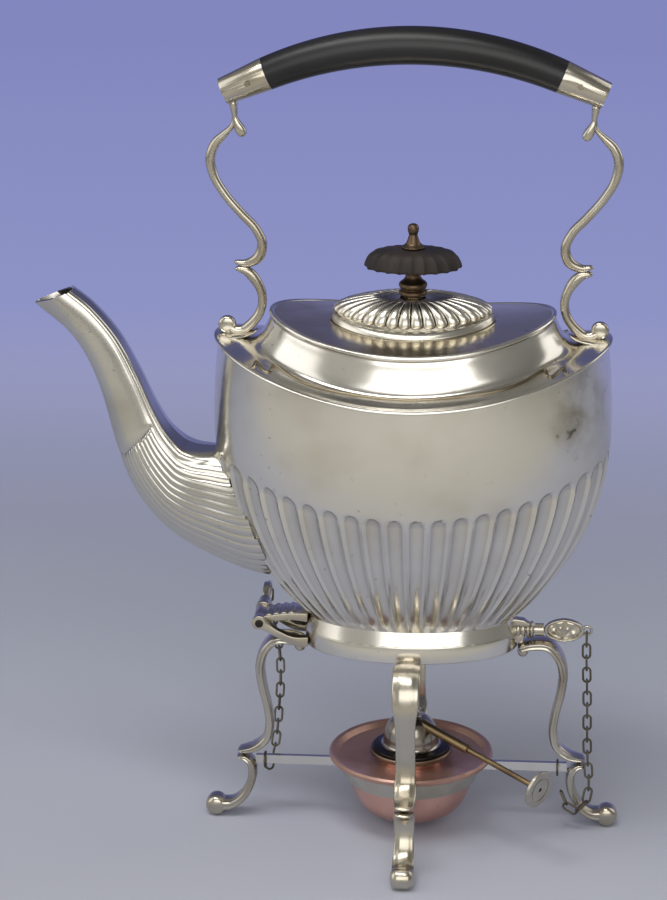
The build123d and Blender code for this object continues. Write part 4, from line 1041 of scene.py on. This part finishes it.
finishPiece(shellPlate(shellValues, shellValues["lockPlace"], (1, 0, 0), (0, 0, 1), (0, 1, 0)),
            "lock_pin_shell", 40)
finishPiece(shellPlate(shellValues, shellValues["hingePlace"], (0, 1, 0), (0, 0, 1), (1, 0, 0)),
            "hinge_pin_shell", 40)

print("hinge and lock")
hingeValues = {
    "lug": [(-68.6, 99.5, 3.2), (-65.6, 99.9, 1.7), (-60.0, 100.9, 1.5), (-54.0, 101.4, 1.6),
            (-47.0, 101.0, 2.0)],
    "arm": [(-68.6, 99.5, 3.5), (-65.8, 97.6, 1.8), (-60.0, 94.3, 1.55), (-53.5, 91.3, 1.9),
            (-46.5, 90.9, 2.2)],
    # outline of the dark web between the arms, which is painted shade
    "shadeWeb": [(-64.0, 99.3), (-49.0, 100.4), (-48.0, 92.0), (-54.0, 92.6)],
    "lugReach": 6.9, "armInner": 7.2, "armOuter": 11.3, "reedPlaces": (-64.6, -61.2, -57.8, -54.4),
    "reedRadius": 1.7, "reedLift": 0.7, "reedShort": 0.4, "shadeWebThick": 1.2, "pin": (-68.6, 99.5),
    "pinHeadRadius": 1.9,
}
lockValues = {
    "axis": (0.0, 95.6), "eye": (47.6, 51.9), "fork": (52.2, 55.6), "radius": 3.9,
    "foot": (46.2, 101.2, 52.6, 97.6), "stem": (47.2, 89.8, 51.6, 94.0),
}


def strapOutline(course, count=24):
    # both edges of a strap drawn through (x, z, half thickness) stations, with a round end at its first one
    at = np.linspace(0, len(course) - 1, count)
    x, z, half = (throughPoints(np.arange(len(course)), [row[i] for row in course], at) for i in range(3))
    run, rise = np.gradient(x), np.gradient(z)
    length = np.hypot(run, rise)
    across, up = -rise / length, run / length
    start = math.atan2(up[0], across[0])
    turned = [start + math.pi * k / 12 for k in range(1, 12)]
    return (list(zip(x + across * half, z + up * half))[::-1]
            + [(x[0] + half[0] * math.cos(a), z[0] + half[0] * math.sin(a)) for a in turned]
            + list(zip(x - across * half, z - up * half)))


def extrudedShape(name, outline, near, far, edge=0.3):
    # (x, z) outline carried along Y, with its edges rolled over
    clearSelection()
    bpy.ops.mesh.primitive_circle_add(vertices=len(outline), fill_type="NGON")
    piece = bpy.context.object
    piece.name = name
    for vertex, (x, z) in zip(piece.data.vertices, outline):
        vertex.co = Vector((x, near, z)) * mm
    bpy.ops.object.mode_set(mode="EDIT")
    bpy.ops.mesh.select_all(action="SELECT")
    bpy.ops.mesh.extrude_region_move(TRANSFORM_OT_translate={"value": (0, (far - near) * mm, 0)})
    bpy.ops.mesh.select_all(action="SELECT")
    bpy.ops.mesh.normals_make_consistent(inside=False)
    bpy.ops.object.mode_set(mode="OBJECT")
    if edge:
        applyModifier(piece, "BEVEL", width=edge * mm, segments=2, limit_method="ANGLE",
                      angle_limit=math.radians(50))
    return piece


def circleOutline(x, z, radius, count=24):
    return [(x + radius * math.cos(2 * math.pi * k / count), z + radius * math.sin(2 * math.pi * k / count))
            for k in range(count)]


def darkenFrom(piece, first):
    # faces from that number on take the dark finish, which on the web between the arms is painted shade
    piece.data.materials.append(sootAndShadeMetal)
    for face in piece.data.polygons[first:]:
        face.material_index = 1


def hingeLug(s):
    # strap that the kettle tilts on, with four reeds across it
    lug = [extrudedShape("lug", strapOutline(s["lug"]), -s["lugReach"], s["lugReach"])]
    end = s["lugReach"] - s["reedShort"]
    for x in s["reedPlaces"]:
        z = float(np.interp(x, [row[0] for row in s["lug"]], [row[1] for row in s["lug"]])) + s["reedLift"]
        lug.append(extrudedShape("reed", circleOutline(x, z, s["reedRadius"]), -end, end))
    return joined("lug", lug)


def hingeArms(s):
    # the stand's two arms, and the number of their faces, before the dark web of painted shade and the pin's
    # head are joined on
    arms = [extrudedShape("arm", strapOutline(s["arm"]), *span)
            for span in ((-s["armOuter"], -s["armInner"]), (s["armInner"], s["armOuter"]))]
    armFaces = sum(len(arm.data.polygons) for arm in arms)
    # a dark plate filling the recess between the arms: painted shade
    arms.append(extrudedShape("shadeWeb", s["shadeWeb"], s["armInner"], s["armInner"] + s["shadeWebThick"], 0))
    arms.append(extrudedShape("pinHead", circleOutline(*s["pin"], s["pinHeadRadius"]),
                              -s["armOuter"] - 0.5, -s["armOuter"] + 0.2, 0.2))
    return joined("arms", arms), armFaces


finishPiece(hingeLug(hingeValues), "kettle_hinge_lug")
arms, armFaces = hingeArms(hingeValues)
darkenFrom(finishPiece(arms, "stand_hinge_arms"), armFaces)


def reededBarrel(name, start, end, radius, axis, rings):
    # short lying barrel with round rings
    at = np.linspace(0, 1, 12 * rings + 1)
    return turnedPiece(name, [(radius * (0.80 + 0.20 * abs(math.sin(math.pi * rings * t)) ** 0.6),
                               start + (end - start) * t) for t in at], lying=axis, rows=12 * rings)


def lockFork(s):
    left, top, right, low = s["foot"]
    outline = [(left, top), (right - 1.5, top - 0.6), (right + 1.6, low + 0.6), (right, low), (left, low)]
    return joined("fork", [reededBarrel("forkRings", *s["fork"], s["radius"], s["axis"], 2),
                           extrudedShape("forkFoot", outline, -2.6, 2.6, 0.5)])


def lockEye(s):
    left, low, right, top = s["stem"]
    outline = [(left, low), (right - 1, low), (right, top), (left, top)]
    return joined("eye", [reededBarrel("eyeRings", *s["eye"], s["radius"], s["axis"], 2),
                          extrudedShape("eyeStem", outline, -3.2, 3.2, 0.5)])


finishPiece(lockFork(lockValues), "kettle_lock_fork")
finishPiece(lockEye(lockValues), "stand_lock_eye")
